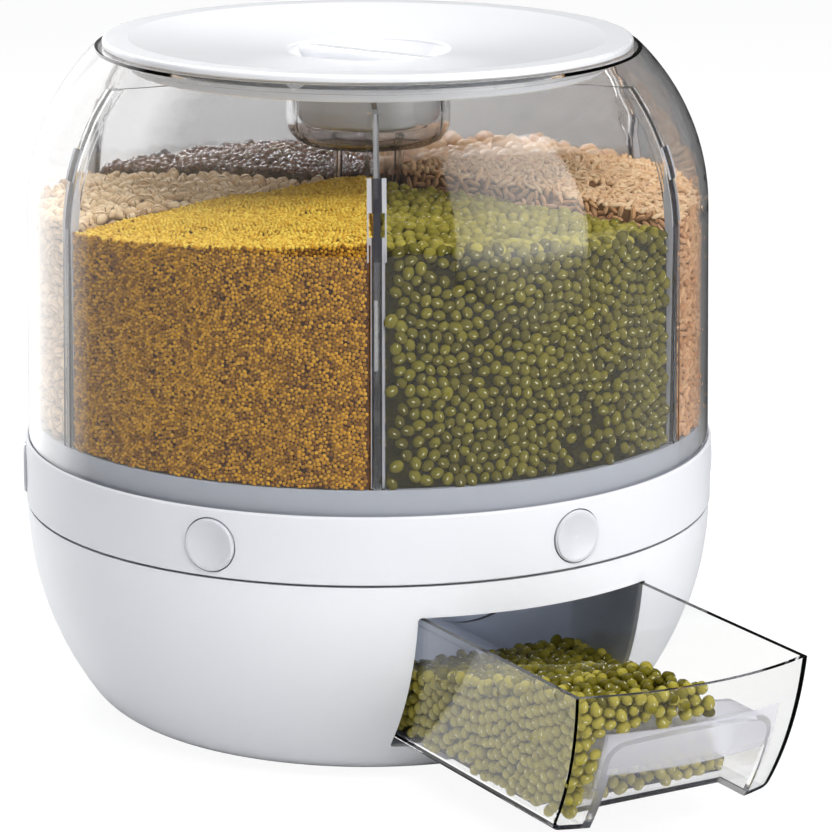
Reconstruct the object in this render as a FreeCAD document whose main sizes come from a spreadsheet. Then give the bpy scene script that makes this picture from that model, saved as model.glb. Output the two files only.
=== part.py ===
"""Rotating six-section grain dispenser with a pull-out drawer, in millimetres.

The bowl stands on z = 0 and the drawer comes out towards -Y. The turntable carries the button
ring, the gates and the clear tank, and turns about Z. Everything that belongs to one of the six
sections is drawn facing -Y and then turned to its place.
"""
import FreeCAD, Part
import math
import os
import Sketcher
from types import SimpleNamespace

SIZES = (
    # Ring, which sets how wide the whole is, and bowl
    ("ring_radius", 155.0),
    ("bowl_inset", 0.5),
    ("bowl_bottom", 1.2),
    ("bowl_arc", 143.0),
    ("bowl_corner", 26.0),
    ("bowl_wall", 2.6),
    ("seam_gap", 1.0),
    # Drawer, its bay and its finger pocket
    ("drawer_width", 111.0),
    ("drawer_base", 18.5),
    ("drawer_height", 62.0),
    ("drawer_wall", 2.4),
    ("drawer_tail", 31.0),
    ("drawer_pull", 120.0),
    ("drawer_gap", 0.6),
    ("scoop_radius", 40.0),
    ("scoop_depth", 23.5),
    ("drawer_draft", 2.8),
    ("drawer_corner", 3.0),
    ("opening_gap", 1.2),
    ("opening_headroom", 0.7),
    ("opening_sill", 1.2),
    ("opening_corner", 1.5),
    ("pocket_width", 75.0),
    ("pocket_roof", 39.5),
    ("pocket_round", 8.0),
    ("pocket_crown", 2.2),
    ("pocket_mouth", 26.5),
    ("pocket_depth", 31.5),
    ("pocket_lean", 15.0),
    ("bay_wall", 2.0),
    ("runner_width", 4.0),
    ("runner_height", 0.6),
    ("runner_inset", 12.0),
    ("slide_gap", 0.2),
    ("bay_gap", 0.3),
    # Deck, chute and bearing
    ("rim_height", 13.8),
    ("deck_thickness", 2.5),
    ("deck_fit", 0.5),
    ("deck_gap", 0.2),
    ("post_inset", 42.0),
    ("post_angle", 57.7),
    ("post_radius", 5.0),
    ("boss_spacing", 80.0),
    ("boss_front", 70.0),
    ("boss_back", 12.0),
    ("chute_width", 56.0),
    ("chute_length", 34.0),
    ("chute_wall", 2.0),
    ("chute_clearance", 1.5),
    ("race_inset", 29.0),
    ("ball_radius", 3.95),
    ("ball_gap", 0.12),
    ("bearing_height", 6.8),
    ("cage_width", 14.0),
    ("cage_thickness", 2.0),
    ("cage_gap", 0.2),
    ("screw_land", 5.0),
    ("spindle_radius", 5.0),
    ("spindle_gap", 0.05),
    ("spindle_head", 8.0),
    ("spindle_thread", 3.0),
    ("thread_length", 6.5),
    ("flange_height", 2.0),
    ("washer_width", 5.5),
    ("washer_height", 1.2),
    ("washer_gap", 0.1),
    ("nut_height", 4.2),
    ("end_float", 0.3),
    ("boss_wall", 4.0),
    ("boss_height", 8.0),
    # Feet and screws
    ("foot_radius", 10.0),
    ("foot_inset", 70.0),
    ("foot_recess", 0.8),
    ("foot_gap", 0.2),
    ("screw_radius", 1.5),
    ("screw_head", 3.2),
    ("screw_sink", 1.4),
    ("screw_gap", 0.3),
    ("head_height", 1.2),
    ("deck_screw_length", 14.0),
    ("tray_screw_length", 9.0),
    # Button ring, buttons and gates
    ("ring_wall", 2.6),
    ("ring_lip", 1.1),
    ("ring_rim", 2.5),
    ("ring_flange", 7.0),
    ("ring_floor", 1.2),
    ("ledge_thickness", 1.2),
    ("button_radius", 11.4),
    ("button_lift", 0.9),
    ("button_proud", 1.0),
    ("button_length", 11.0),
    ("button_rim", 1.7),
    ("button_dish", 1.3),
    ("button_wall", 1.4),
    ("button_gap", 0.5),
    ("button_room", 0.3),
    ("sleeve_wall", 1.0),
    ("sleeve_length", 8.0),
    ("stem_radius", 3.0),
    ("stem_peg", 2.0),
    ("stem_depth", 3.0),
    ("sleeve_gap", 0.3),
    ("tray_thickness", 2.0),
    ("tray_gap", 0.4),
    ("gate_travel", 12.0),
    ("gate_width", 36.0),
    ("gate_thickness", 3.0),
    ("gate_gap", 0.3),
    ("gate_length", 62.0),
    ("gate_inset", 19.0),
    ("rail_width", 3.0),
    ("rail_height", 5.0),
    ("outlet_inset", 63.0),
    ("outlet_width", 28.0),
    ("outlet_length", 11.0),
    ("outlet_gap", 1.0),
    ("seat_width", 10.0),
    ("stand_width", 14.0),
    ("stand_thickness", 3.0),
    ("spring_length", 24.0),
    ("spring_radius", 3.0),
    ("spring_wire", 0.7),
    ("peg_radius", 1.8),
    # Tank
    ("tank_fit", 0.3),
    ("tank_draft", 1.8),
    ("tank_wall", 3.0),
    ("tank_height", 174.9),
    ("shoulder_rise", 72.4),
    ("shoulder_arc", 100.0),
    ("neck_depth", 6.4),
    ("neck_wall", 2.0),
    ("roof_wall", 2.8),
    ("floor_rise", 10.5),
    ("floor_wall", 2.4),
    ("floor_gap", 0.6),
    ("skirt_wall", 2.4),
    ("mouth_land", 3.4),
    ("hub_land", 6.0),
    ("spigot_height", 4.0),
    ("spigot_gap", 0.3),
    ("boss_radius", 4.0),
    ("divider_thickness", 2.4),
    ("divider_gap", 0.3),
    ("rib_thickness", 1.8),
    ("rib_depth", 3.6),
    ("land_half_width", 3.2),
    ("funnel_wall", 2.0),
    ("hub_radius", 16.5),
    ("hub_wall", 2.5),
    ("cup_radius", 37.0),
    ("cup_height", 33.0),
    ("cup_corner", 12.0),
    ("cup_wall", 2.4),
    # Lid
    ("lid_inset", 3.3),
    ("lid_thickness", 3.3),
    ("lid_gap", 0.3),
    ("lid_edge", 1.4),
    ("lid_rim", 11.5),
    ("lid_dish", 6.0),
    ("lid_plate", 2.5),
    ("lid_corner", 0.5),
    ("lid_seat", 9.5),
    ("well_radius", 37.4),
    ("well_depth", 31.0),
    ("well_wall", 2.2),
    ("well_gap", 0.8),
    ("well_corner", 10.0),
    ("throat_rise", 1.5),
    ("grip_width", 12.0),
    ("grip_drop", 1.0),
    ("grip_round", 3.0),
    ("grip_wall", 2.0),
    ("grip_angle", 24.0),
    ("plug_gap", 2.6),
    ("plug_depth", 10.4),
    ("plug_wall", 2.4),
    ("plug_clearance", 1.3),
    ("seal_gap", 0.3),
    ("seal_height", 3.0),
    ("seal_rise", 1.6),
    ("seal_groove", 1.2),
    ("liner_width", 14.0),
    ("liner_thickness", 1.8),
    # Angles about the turntable's axis
    ("turn_at_rest", 5.2),
    ("divider_offset", -3.2),
)
SECTIONS = 6
BALLS = 12
FEET = 6
STEP_ANGLE = 360.0 / SECTIONS


class Size:
    """A number that also carries the sheet formula it comes from."""

    def __init__(self, number, formula):
        self.number = float(number)
        self.formula = formula

    def __add__(self, other):
        other = as_size(other)
        return Size(self.number + other.number, f"({self.formula} + {other.formula})")

    def __sub__(self, other):
        other = as_size(other)
        return Size(self.number - other.number, f"({self.formula} - {other.formula})")

    def __mul__(self, other):
        other = as_size(other)
        return Size(self.number * other.number, f"({self.formula} * {other.formula})")

    def __truediv__(self, other):
        other = as_size(other)
        return Size(self.number / other.number, f"({self.formula} / {other.formula})")

    def __neg__(self):
        return Size(-self.number, f"(0 - {self.formula})")

    def __radd__(self, other):
        return as_size(other) + self

    def __rsub__(self, other):
        return as_size(other) - self

    def __rmul__(self, other):
        return as_size(other) * self


def as_size(value):
    """Turn a plain number into a Size, and leave a Size alone."""
    if isinstance(value, Size):
        return value
    return Size(value, f"({float(value)!r})")


def root(size):
    return Size(math.sqrt(size.number), f"sqrt({size.formula})")


def sine(angle):
    return Size(math.sin(math.radians(angle.number)), f"sin({angle.formula} * 1 deg)")


def cosine(angle):
    return Size(math.cos(math.radians(angle.number)), f"cos({angle.formula} * 1 deg)")


def arc_reach(radius, offset):
    """How far a circle of this radius reaches, at this distance from its centre line."""
    return root(radius * radius - offset * offset)


class Arc:
    """An arc between two corners of an outline: its radius, and which side it bulges to."""

    def __init__(self, radius, side):
        self.radius = as_size(radius)
        self.side = side


doc = FreeCAD.newDocument("GrainDispenser")
sheet = doc.addObject("Spreadsheet::Sheet", "Dimensions")


def fill_sheet():
    """Write the driving dimensions to the sheet and return them by name."""
    named = SimpleNamespace()
    for row, (name, number) in enumerate(SIZES, start=1):
        sheet.set(f"A{row}", name.replace("_", " "))
        sheet.set(f"B{row}", str(number))
        sheet.setAlias(f"B{row}", name)
        setattr(named, name, Size(number, f"Dimensions.{name}"))
    doc.recompute()
    return named


d = fill_sheet()

# Heights that several pieces share, from the bottom up
drawer_top = d.drawer_base + d.drawer_height
spindle_base = drawer_top + d.chute_clearance
bowl_top = drawer_top + d.opening_headroom + d.rim_height
ring_base = bowl_top + d.seam_gap
tray_base = ring_base + d.ring_floor
tray_top = tray_base + d.tray_thickness
deck_top = tray_base - d.bearing_height
deck_base = deck_top - d.deck_thickness
ball_height = (deck_top + tray_base) / 2
gate_base = tray_top + d.gate_gap
gate_top = gate_base + d.gate_thickness
outlet_base = gate_top + d.gate_gap
spring_axis = tray_top + d.spring_radius + d.gate_gap
bore_radius = d.button_radius + d.button_gap
sleeve_radius = bore_radius + d.sleeve_wall
button_axis = ring_base + sleeve_radius + d.button_lift
ring_ledge = button_axis + sleeve_radius + d.sleeve_gap
ring_top = ring_ledge + d.ring_rim
tank_foot = ring_ledge
floor_top = ring_top + d.floor_rise
floor_base = floor_top - d.floor_wall
tank_top = ring_top + d.tank_height
shoulder_start = tank_top - d.shoulder_rise
lid_base = tank_top + d.lid_gap
lid_top = lid_base + d.lid_thickness
divider_top = lid_base - d.plug_depth - d.plug_clearance
bay_floor = d.drawer_base - d.slide_gap - d.runner_height
spindle_shoulder = tray_top + d.boss_height
seat_top = spring_axis + d.spring_radius + 1.0

# Widths and radii that several pieces share
drawer_side = d.drawer_width / 2
bay_side = drawer_side + d.drawer_gap
bay_tail = d.drawer_tail + d.drawer_gap
bowl_radius = d.ring_radius - d.bowl_inset
beyond = d.ring_radius + 5.0
race_radius = d.ring_radius - d.race_inset
boss_circle = race_radius - d.cage_width / 2 - d.screw_land
outlet_radius = d.ring_radius - d.outlet_inset
gate_outer = d.ring_radius - d.gate_inset
gate_inner = gate_outer - d.gate_length
spring_stop = gate_inner - d.spring_length
tank_foot_radius = d.ring_radius - d.ring_lip - d.tank_fit
tank_side_radius = tank_foot_radius - d.tank_draft
floor_radius = tank_foot_radius - d.tank_wall - d.floor_gap
divider_angle = d.divider_offset + STEP_ANGLE / 2
bowl_middle = bowl_radius - d.bowl_arc
deck_radius = bowl_middle + arc_reach(d.bowl_arc - d.bowl_wall, bowl_top - deck_base) - d.deck_fit
post_circle = d.ring_radius - d.post_inset
foot_circle = d.ring_radius - d.foot_inset
shoulder_middle = tank_side_radius - d.shoulder_arc
tank_top_radius = shoulder_middle + arc_reach(d.shoulder_arc, tank_top - shoulder_start)
lid_radius = tank_top_radius - d.lid_inset
mouth_radius = lid_radius - d.lid_seat
plug_radius = mouth_radius - d.plug_gap
cap_back = d.ring_radius + d.button_proud - d.button_length
ring_inner = d.ring_radius - d.ring_wall
sleeve_start = ring_inner - d.sleeve_length


def place(item, x=0.0, y=0.0, z=0.0):
    """Move an object to a point, with each coordinate bound to its formula."""
    for axis, value in (("x", x), ("y", y), ("z", z)):
        value = as_size(value)
        setattr(item.Placement.Base, axis, value.number)
        item.setExpression(f".Placement.Base.{axis}", value.formula)
    return item


def turn(item, angle):
    """Turn an object about the Z axis through the origin."""
    angle = as_size(angle)
    item.Placement = FreeCAD.Placement(
        FreeCAD.Vector(), FreeCAD.Rotation(FreeCAD.Vector(0, 0, 1), angle.number)
    )
    item.setExpression(".Placement.Rotation.Angle", angle.formula)
    return item


def bind(item, **sizes):
    for name, value in sizes.items():
        value = as_size(value)
        setattr(item, name, value.number)
        item.setExpression(name, value.formula)
    return item


def box(name, x, y, z):
    """A block between two values on each axis."""
    low = [as_size(pair[0]) for pair in (x, y, z)]
    high = [as_size(pair[1]) for pair in (x, y, z)]
    item = doc.addObject("Part::Box", name)
    bind(item, Length=high[0] - low[0], Width=high[1] - low[1], Height=high[2] - low[2])
    return place(item, *low)


def cylinder(name, radius, low, high, x=0.0, y=0.0):
    """An upright cylinder between two heights."""
    item = doc.addObject("Part::Cylinder", name)
    bind(item, Radius=radius, Height=as_size(high) - low)
    return place(item, x, y, low)


def rod(name, radius, inner, outer, height, x=0.0):
    """A cylinder lying along -Y, between two distances from the turntable's axis."""
    item = doc.addObject("Part::Cylinder", name)
    bind(item, Radius=radius, Height=as_size(outer) - inner)
    item.Placement.Rotation = FreeCAD.Rotation(FreeCAD.Vector(1, 0, 0), 90)
    return place(item, x, -as_size(inner), height)


def fuse(name, parts):
    item = doc.addObject("Part::MultiFuse", name)
    item.Shapes = parts
    return item


def group(name, parts):
    item = doc.addObject("Part::Compound", name)
    item.Links = parts
    return item


def cut(name, base, tool):
    item = doc.addObject("Part::Cut", name)
    item.Base = base
    item.Tool = tool
    return item


def common(name, parts):
    item = doc.addObject("Part::MultiCommon", name)
    item.Shapes = parts
    return item


def origin_plane(body, role):
    return next(plane for plane in body.Origin.OriginFeatures if plane.Role == role)


def arc_between(start, end, arc):
    """The arc from one corner to the next, bulging left (1) or right (-1) of the way there."""
    chord = end - start
    half = chord.Length / 2
    radius = max(arc.radius.number, half)
    rise = radius - math.sqrt(radius * radius - half * half)
    left = FreeCAD.Vector(-chord.y, chord.x, 0).normalize()
    middle = (start + end) / 2 + left * (rise * arc.side)
    return Part.Arc(start, middle, end)


def draw(sketch, outline):
    """Draw a closed outline of corners and arcs, every corner bound to its two formulas."""
    corners = [item for item in outline if not isinstance(item, Arc)]
    points = [FreeCAD.Vector(as_size(x).number, as_size(y).number, 0) for x, y in corners]
    arcs = {}
    seen = 0
    for item in outline:
        if isinstance(item, Arc):
            arcs[seen - 1] = item
        else:
            seen += 1
    ends = []
    for index, start in enumerate(points):
        end = points[(index + 1) % len(points)]
        if index in arcs:
            curve = arc_between(start, end, arcs[index])
            edge = sketch.addGeometry(curve, False)
            forward = sketch.getPoint(edge, 1).distanceToPoint(start) < 0.001
            ends.append((edge, 1, 2) if forward else (edge, 2, 1))
            number = sketch.addConstraint(
                Sketcher.Constraint("Radius", edge, arcs[index].radius.number)
            )
            sketch.setExpression(f"Constraints[{number}]", arcs[index].radius.formula)
        else:
            edge = sketch.addGeometry(Part.LineSegment(start, end), False)
            ends.append((edge, 1, 2))
    for index, (edge, first, last) in enumerate(ends):
        next_edge, next_first, _ = ends[(index + 1) % len(ends)]
        sketch.addConstraint(Sketcher.Constraint("Coincident", edge, last, next_edge, next_first))
    for (edge, first, _), corner in zip(ends, corners):
        fix_point(sketch, edge, first, corner)


def fix_point(sketch, edge, end, corner):
    """Hold one corner at its distances from the sketch's axes."""
    for kind, axis, value in (("DistanceX", -2, corner[0]), ("DistanceY", -1, corner[1])):
        value = as_size(value)
        if value.number == 0.0:
            sketch.addConstraint(Sketcher.Constraint("PointOnObject", edge, end, axis))
            continue
        number = sketch.addConstraint(
            Sketcher.Constraint(kind, -1, 1, edge, end, value.number)
        )
        sketch.setExpression(f"Constraints[{number}]", value.formula)


def sketch_on(body, role, outline, height=0.0):
    """A sketch on one of the body's own origin planes, or lifted off it."""
    sketch = body.newObject("Sketcher::SketchObject", f"{body.Name}_{role[:2]}")
    sketch.AttachmentSupport = [(origin_plane(body, role), "")]
    sketch.MapMode = "FlatFace"
    height = as_size(height)
    sketch.AttachmentOffset.Base.z = height.number
    sketch.setExpression(".AttachmentOffset.Base.z", height.formula)
    draw(sketch, outline)
    return sketch


def spin(name, outline):
    """A solid of revolution about Z, from an outline of (radius, height) corners."""
    body = doc.addObject("PartDesign::Body", name)
    sketch = sketch_on(body, "XZ_Plane", outline)
    feature = body.newObject("PartDesign::Revolution", f"{name}_turned")
    feature.Profile = (sketch, [""])
    feature.ReferenceAxis = (sketch, ["V_Axis"])
    feature.Angle = 360.0
    return body


def slab(name, outline, role, low, high):
    """An outline on an origin plane, padded between two distances from that plane."""
    body = doc.addObject("PartDesign::Body", name)
    sketch = sketch_on(body, role, outline, low)
    feature = body.newObject("PartDesign::Pad", f"{name}_pad")
    feature.Profile = (sketch, [""])
    bind(feature, Length=as_size(high) - low)
    return body


def loft(name, lower, low, upper, high):
    """A ruled loft between two level outlines with as many corners each."""
    body = doc.addObject("PartDesign::Body", name)
    base = sketch_on(body, "XY_Plane", lower, low)
    top = sketch_on(body, "XY_Plane", upper, high)
    feature = body.newObject("PartDesign::AdditiveLoft", f"{name}_loft")
    feature.Profile = base
    feature.Sections = [top]
    feature.Ruled = True
    return body


def rounded_rectangle(x, y, radius):
    """Corners and arcs of a rectangle with rounded corners, counter-clockwise."""
    x0, x1 = as_size(x[0]), as_size(x[1])
    y0, y1 = as_size(y[0]), as_size(y[1])
    bend = Arc(radius, -1)
    return [
        (x0 + radius, y0), (x1 - radius, y0), bend, (x1, y0 + radius), (x1, y1 - radius), bend,
        (x1 - radius, y1), (x0 + radius, y1), bend, (x0, y1 - radius), (x0, y0 + radius), bend,
    ]


def around(make, count, start=0.0):
    """The same object made several times, evenly spaced about Z."""
    copies = []
    for index in range(count):
        item = make(index)
        copies.append(turn(group(f"{item.Name}_turned", [item]), start + index * (360.0 / count)))
    return copies


def finish(item, label):
    """Give a finished sub-part its name."""
    item.Label = label
    parts.append(item)
    return item


parts = []


# Bowl

def bowl_curve(inset):
    """The bowl's outer side, from the bottom up, moved in by inset."""
    middle = bowl_middle
    lift = d.bowl_bottom + d.bowl_corner
    between = d.bowl_arc - d.bowl_corner
    corner_middle = middle + arc_reach(between, bowl_top - lift)
    share = (d.bowl_arc - inset) / between
    blend = (middle + (corner_middle - middle) * share, bowl_top - (bowl_top - lift) * share)
    foot = (corner_middle, d.bowl_bottom + inset)
    top = (bowl_radius - inset, bowl_top)
    return foot, Arc(d.bowl_corner - inset, -1), blend, Arc(d.bowl_arc - inset, -1), top


def reverse_bowl_curve(inset):
    foot, corner, blend, side, top = bowl_curve(inset)
    return top, Arc(side.radius, 1), blend, Arc(corner.radius, 1), foot


def bowl_volume(name, inset):
    """All the space inside the bowl's outer side, moved in by inset."""
    inset = as_size(inset)
    curve = bowl_curve(inset)
    return spin(name, [(0.0, d.bowl_bottom + inset), *curve, (0.0, bowl_top)])


def at_posts(make):
    """One object at each of the four deck posts."""
    x = post_circle * sine(d.post_angle)
    y = post_circle * cosine(d.post_angle)
    corners = [(-x, -y), (-x, y), (x, -y), (x, y)]
    return [make(n, *corner) for n, corner in enumerate(corners)]


def at_bay_bosses(make):
    """One object at each of the four screw bosses under the drawer's bay."""
    x = d.boss_spacing / 2
    corners = [(-x, -d.boss_front), (-x, d.boss_back), (x, -d.boss_front), (x, d.boss_back)]
    return [make(n, *corner) for n, corner in enumerate(corners)]


def screw_hole(name, x, y, low, high):
    """A clearance hole with a sunk seat for the head, opening downwards."""
    hole = cylinder(f"{name}_shank", d.screw_radius + d.screw_gap, low, high, x, y)
    seat = cylinder(f"{name}_seat", d.screw_head + d.screw_gap, low - 1.0, low + d.screw_sink, x, y)
    return fuse(name, [hole, seat])


def screw(name, x, y, low, high):
    """A pan-head screw standing on its head."""
    neck = low + d.head_height
    head = cylinder(f"{name}_head", d.screw_head, low, neck, x, y)
    shank = cylinder(f"{name}_shank", d.screw_radius, neck, high, x, y)
    return fuse(name, [head, shank])


def make_bowl():
    wall = d.bowl_wall
    floor = d.bowl_bottom + wall
    shell = spin("bowl_shell", [
        (0.0, d.bowl_bottom), *bowl_curve(as_size(0.0)), *reverse_bowl_curve(wall), (0.0, floor),
    ])
    columns = at_posts(lambda n, x, y: cylinder(f"bowl_column_{n}", d.post_radius, 0.0, deck_base, x, y))
    posts = common("bowl_posts", [group("bowl_columns", columns), bowl_volume("post_limit", wall / 2)])
    side = drawer_side + d.opening_gap
    low = d.drawer_base - d.opening_sill
    high = drawer_top + d.opening_headroom
    window = slab("bowl_window", rounded_rectangle((-side, side), (low, high), d.opening_corner),
                  "XZ_Plane", 0.0, beyond)
    bores = at_posts(lambda n, x, y: cylinder(
        f"bowl_bore_{n}", d.screw_radius, deck_top - d.deck_screw_length, deck_base + 1.0, x, y))
    holes = at_bay_bosses(lambda n, x, y: screw_hole(
        f"bowl_hole_{n}", x, y, d.bowl_bottom, floor + 0.5))
    seats = around(lambda n: cylinder(
        f"foot_seat_{n}", d.foot_radius + d.foot_gap, 0.0, d.bowl_bottom + d.foot_recess,
        0.0, -foot_circle), FEET)
    body = fuse("bowl_body", [shell, posts])
    tools = fuse("bowl_cuts", [window, *bores, *holes, *seats])
    finish(cut("base_bowl", body, tools), "base_bowl")


def make_feet():
    pads = around(lambda n: cylinder(
        f"foot_{n}", d.foot_radius, 0.0, d.bowl_bottom + d.foot_recess, 0.0, -foot_circle), FEET)
    finish(group("foot_pads", pads), "foot_pads")


# Drawer bay and drawer

def make_bay():
    """The channel under the deck that the drawer slides in, on two runners."""
    outer = bay_side + d.bay_wall
    block = box("bay_block", (-outer, outer), (-d.ring_radius, bay_tail + d.bay_wall),
                (bay_floor - d.bay_wall, deck_base - d.deck_gap))
    space = box("bay_space", (-bay_side, bay_side), (-beyond, bay_tail), (bay_floor, deck_top))
    half = d.runner_width / 2
    runners = [
        box(f"bay_runner_{n}", (x - half, x + half), (-d.ring_radius, d.drawer_tail),
            (bay_floor - 0.5, bay_floor + d.runner_height))
        for n, x in enumerate((d.runner_inset - drawer_side, drawer_side - d.runner_inset))
    ]
    solid = fuse("bay_solid", [cut("bay_channel", block, space), *runners])
    trimmed = common("bay_trimmed", [solid, bowl_volume("bay_limit", d.bowl_wall + d.bay_gap)])
    floor = d.bowl_bottom + d.bowl_wall
    bosses = at_bay_bosses(lambda n, x, y: cylinder(
        f"bay_boss_{n}", d.post_radius, floor, bay_floor - 0.5, x, y))
    bores = at_bay_bosses(lambda n, x, y: cylinder(
        f"bay_bore_{n}", d.screw_radius, floor - 1.0, bay_floor - 3.0, x, y))
    body = fuse("bay_body", [trimmed, *bosses])
    finish(cut("drawer_bay", body, fuse("bay_bores", bores)), "drawer_bay")


def drawer_section(inset, above=()):
    """The drawer seen from the front: drafted sides and rounded bottom corners, moved in by inset."""
    top = drawer_side - inset
    foot = top - d.drawer_draft
    low = d.drawer_base + inset
    bend = d.drawer_corner - inset / 2
    corner = Arc(bend, -1)
    return [
        (bend - foot, low), (foot - bend, low), corner, (foot, low + bend), (top, drawer_top),
        *above, (-top, drawer_top), (-foot, low + bend), corner,
    ]


def pocket_section(extra):
    """The finger pocket seen from the front, with a rounded and slightly crowned roof."""
    half = d.pocket_width / 2 + extra
    roof = d.drawer_base + d.pocket_roof + extra
    bend = d.pocket_round + extra
    flat = half - bend
    crown = (flat * flat + d.pocket_crown * d.pocket_crown) / (d.pocket_crown * 2)
    corner = Arc(bend, -1)
    low = d.drawer_base - 1.0
    return [
        (-half, low), (half, low), (half, roof - bend), corner, (flat, roof),
        Arc(crown + extra, -1), (-flat, roof), corner, (-half, roof - bend),
    ]


def pocket_side(extra):
    """The finger pocket seen from the side, as (y, z): its back leans out like the drawer's front."""
    rise = d.pocket_roof + d.pocket_crown + extra
    slope = d.pocket_lean / d.pocket_roof
    foot = bowl_radius - d.pocket_depth - d.pocket_lean - extra
    low = d.drawer_base - 1.0
    top = d.drawer_base + rise
    return [(-beyond, low), (slope - foot, low), (-(foot + slope * rise), top), (-beyond, top)]


def pocket_room(name, extra):
    half = d.pocket_width / 2 + extra
    return common(name, [
        slab(f"{name}_side", pocket_side(extra), "YZ_Plane", -half, half),
        slab(f"{name}_front", pocket_section(extra), "XZ_Plane", 0.0, beyond),
    ])


def make_drawer():
    """A clear box whose front follows the bowl, with a finger pocket open at the bottom."""
    wall = d.drawer_wall
    zero = as_size(0.0)
    block = slab("drawer_block", drawer_section(zero), "XZ_Plane", -d.drawer_tail, beyond)
    outside = common("drawer_outside", [block, bowl_volume("drawer_front", 0.0)])
    inner = drawer_side - wall
    above = [(inner, drawer_top + 5.0), (-inner, drawer_top + 5.0)]
    hollow = slab("drawer_hollow", drawer_section(wall, above), "XZ_Plane", wall - d.drawer_tail, beyond)
    inside = common("drawer_inside", [hollow, bowl_volume("drawer_front_inner", wall)])
    housing = pocket_room("pocket_housing", wall)
    pocket = pocket_room("pocket_space", zero)
    half = d.pocket_width / 2
    below_lip = box("pocket_mouth", (-half, half), (-beyond, 0.0),
                    (d.drawer_base - 1.0, d.drawer_base + d.pocket_mouth))
    behind_band = fuse("pocket_reach", [below_lip, bowl_volume("pocket_band", wall)])
    scoop = rod("drawer_scoop", d.scoop_radius, -(d.drawer_tail + 1.0), -(d.drawer_tail - wall - 1.0),
                drawer_top - d.scoop_depth + d.scoop_radius)
    hollows = fuse("drawer_cuts", [
        cut("drawer_room", inside, housing), common("pocket_cut", [pocket, behind_band]), scoop,
    ])
    drawer = cut("drawer_cup", outside, hollows)
    place(drawer, 0.0, -d.drawer_pull, 0.0)
    finish(drawer, "drawer_cup")


# Deck, spindle and bearing

def ball_race(name):
    """The groove that the balls run in, half in the deck and half in the tray."""
    race = doc.addObject("Part::Torus", name)
    bind(race, Radius1=race_radius, Radius2=d.ball_radius + d.ball_gap)
    return place(race, 0.0, 0.0, ball_height)


def make_deck():
    """The lid of the bowl, with the chute over the drawer and the lower ball race."""
    plate = cylinder("deck_plate", deck_radius, deck_base, deck_top)
    boss = cylinder("deck_boss", d.spindle_radius + d.boss_wall, spindle_base + d.flange_height,
                    tray_base - d.end_float)
    half = d.chute_width / 2
    near = outlet_radius - d.chute_length / 2
    far = outlet_radius + d.chute_length / 2
    wall = d.chute_wall
    skirt = slab("chute_skirt", rounded_rectangle(
        (-half - wall, half + wall), (-far - wall, wall - near), wall * 2),
        "XY_Plane", drawer_top + d.chute_clearance, deck_top)
    mouth = slab("chute_mouth", rounded_rectangle((-half, half), (-far, -near), wall),
                 "XY_Plane", drawer_top, deck_top + 1.0)
    bore = cylinder("deck_bore", d.spindle_radius, spindle_base, tray_base)
    holes = at_posts(lambda n, x, y: cylinder(
        f"deck_hole_{n}", d.screw_radius + d.screw_gap, deck_base - 1.0, deck_top, x, y))
    sinks = at_posts(lambda n, x, y: cylinder(
        f"deck_sink_{n}", d.screw_head + d.screw_gap, deck_top - d.screw_sink, deck_top + 1.0, x, y))
    body = fuse("deck_body", [plate, boss, skirt])
    tools = fuse("deck_cuts", [mouth, ball_race("deck_race"), bore, *holes, *sinks])
    finish(cut("base_deck", body, tools), "base_deck")


def make_base_screws():
    """The screws of the deck, from above, and of the drawer's bay, from below."""
    neck = deck_top - d.screw_sink

    def deck_screw(n, x, y):
        head = cylinder(f"deck_screw_head_{n}", d.screw_head, neck, neck + d.head_height, x, y)
        shank = cylinder(f"deck_screw_shank_{n}", d.screw_radius, deck_top - d.deck_screw_length,
                         neck, x, y)
        return fuse(f"deck_screw_{n}", [head, shank])

    finish(group("deck_screws", at_posts(deck_screw)), "deck_screws")
    seat = d.bowl_bottom + d.screw_sink - d.head_height
    finish(group("bay_screws", at_bay_bosses(
        lambda n, x, y: screw(f"bay_screw_{n}", x, y, seat, bay_floor - 4.0))), "bay_screws")


def make_spindle():
    """The fixed centre pin, with the washer and nut that keep the turntable down."""
    low = spindle_base
    head = d.spindle_head
    shaft = d.spindle_radius
    thread = d.spindle_thread
    flange = low + d.flange_height
    shoulder = spindle_shoulder
    tip = shoulder + d.thread_length
    finish(spin("spindle", [
        (0.0, low), (head - 0.6, low), (head, low + 0.6), (head, flange), (shaft, flange),
        (shaft, shoulder), (thread, shoulder), (thread, tip), (0.0, tip),
    ]), "spindle")
    nut_low = shoulder + d.washer_height
    disc = cylinder("washer_disc", shaft + d.washer_width, shoulder, nut_low)
    disc_hole = cylinder("washer_hole", thread + d.washer_gap, shoulder - 1.0, nut_low + 1.0)
    finish(cut("spindle_washer", disc, disc_hole), "spindle_washer")
    nut = doc.addObject("Part::Prism", "nut_prism")
    nut.Polygon = 6
    bind(nut, Circumradius=thread * 1.9, Height=d.nut_height)
    place(nut, 0.0, 0.0, nut_low)
    nut_hole = cylinder("nut_hole", thread, nut_low - 1.0, nut_low + d.nut_height + 1.0)
    finish(cut("spindle_nut", nut, nut_hole), "spindle_nut")


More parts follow.
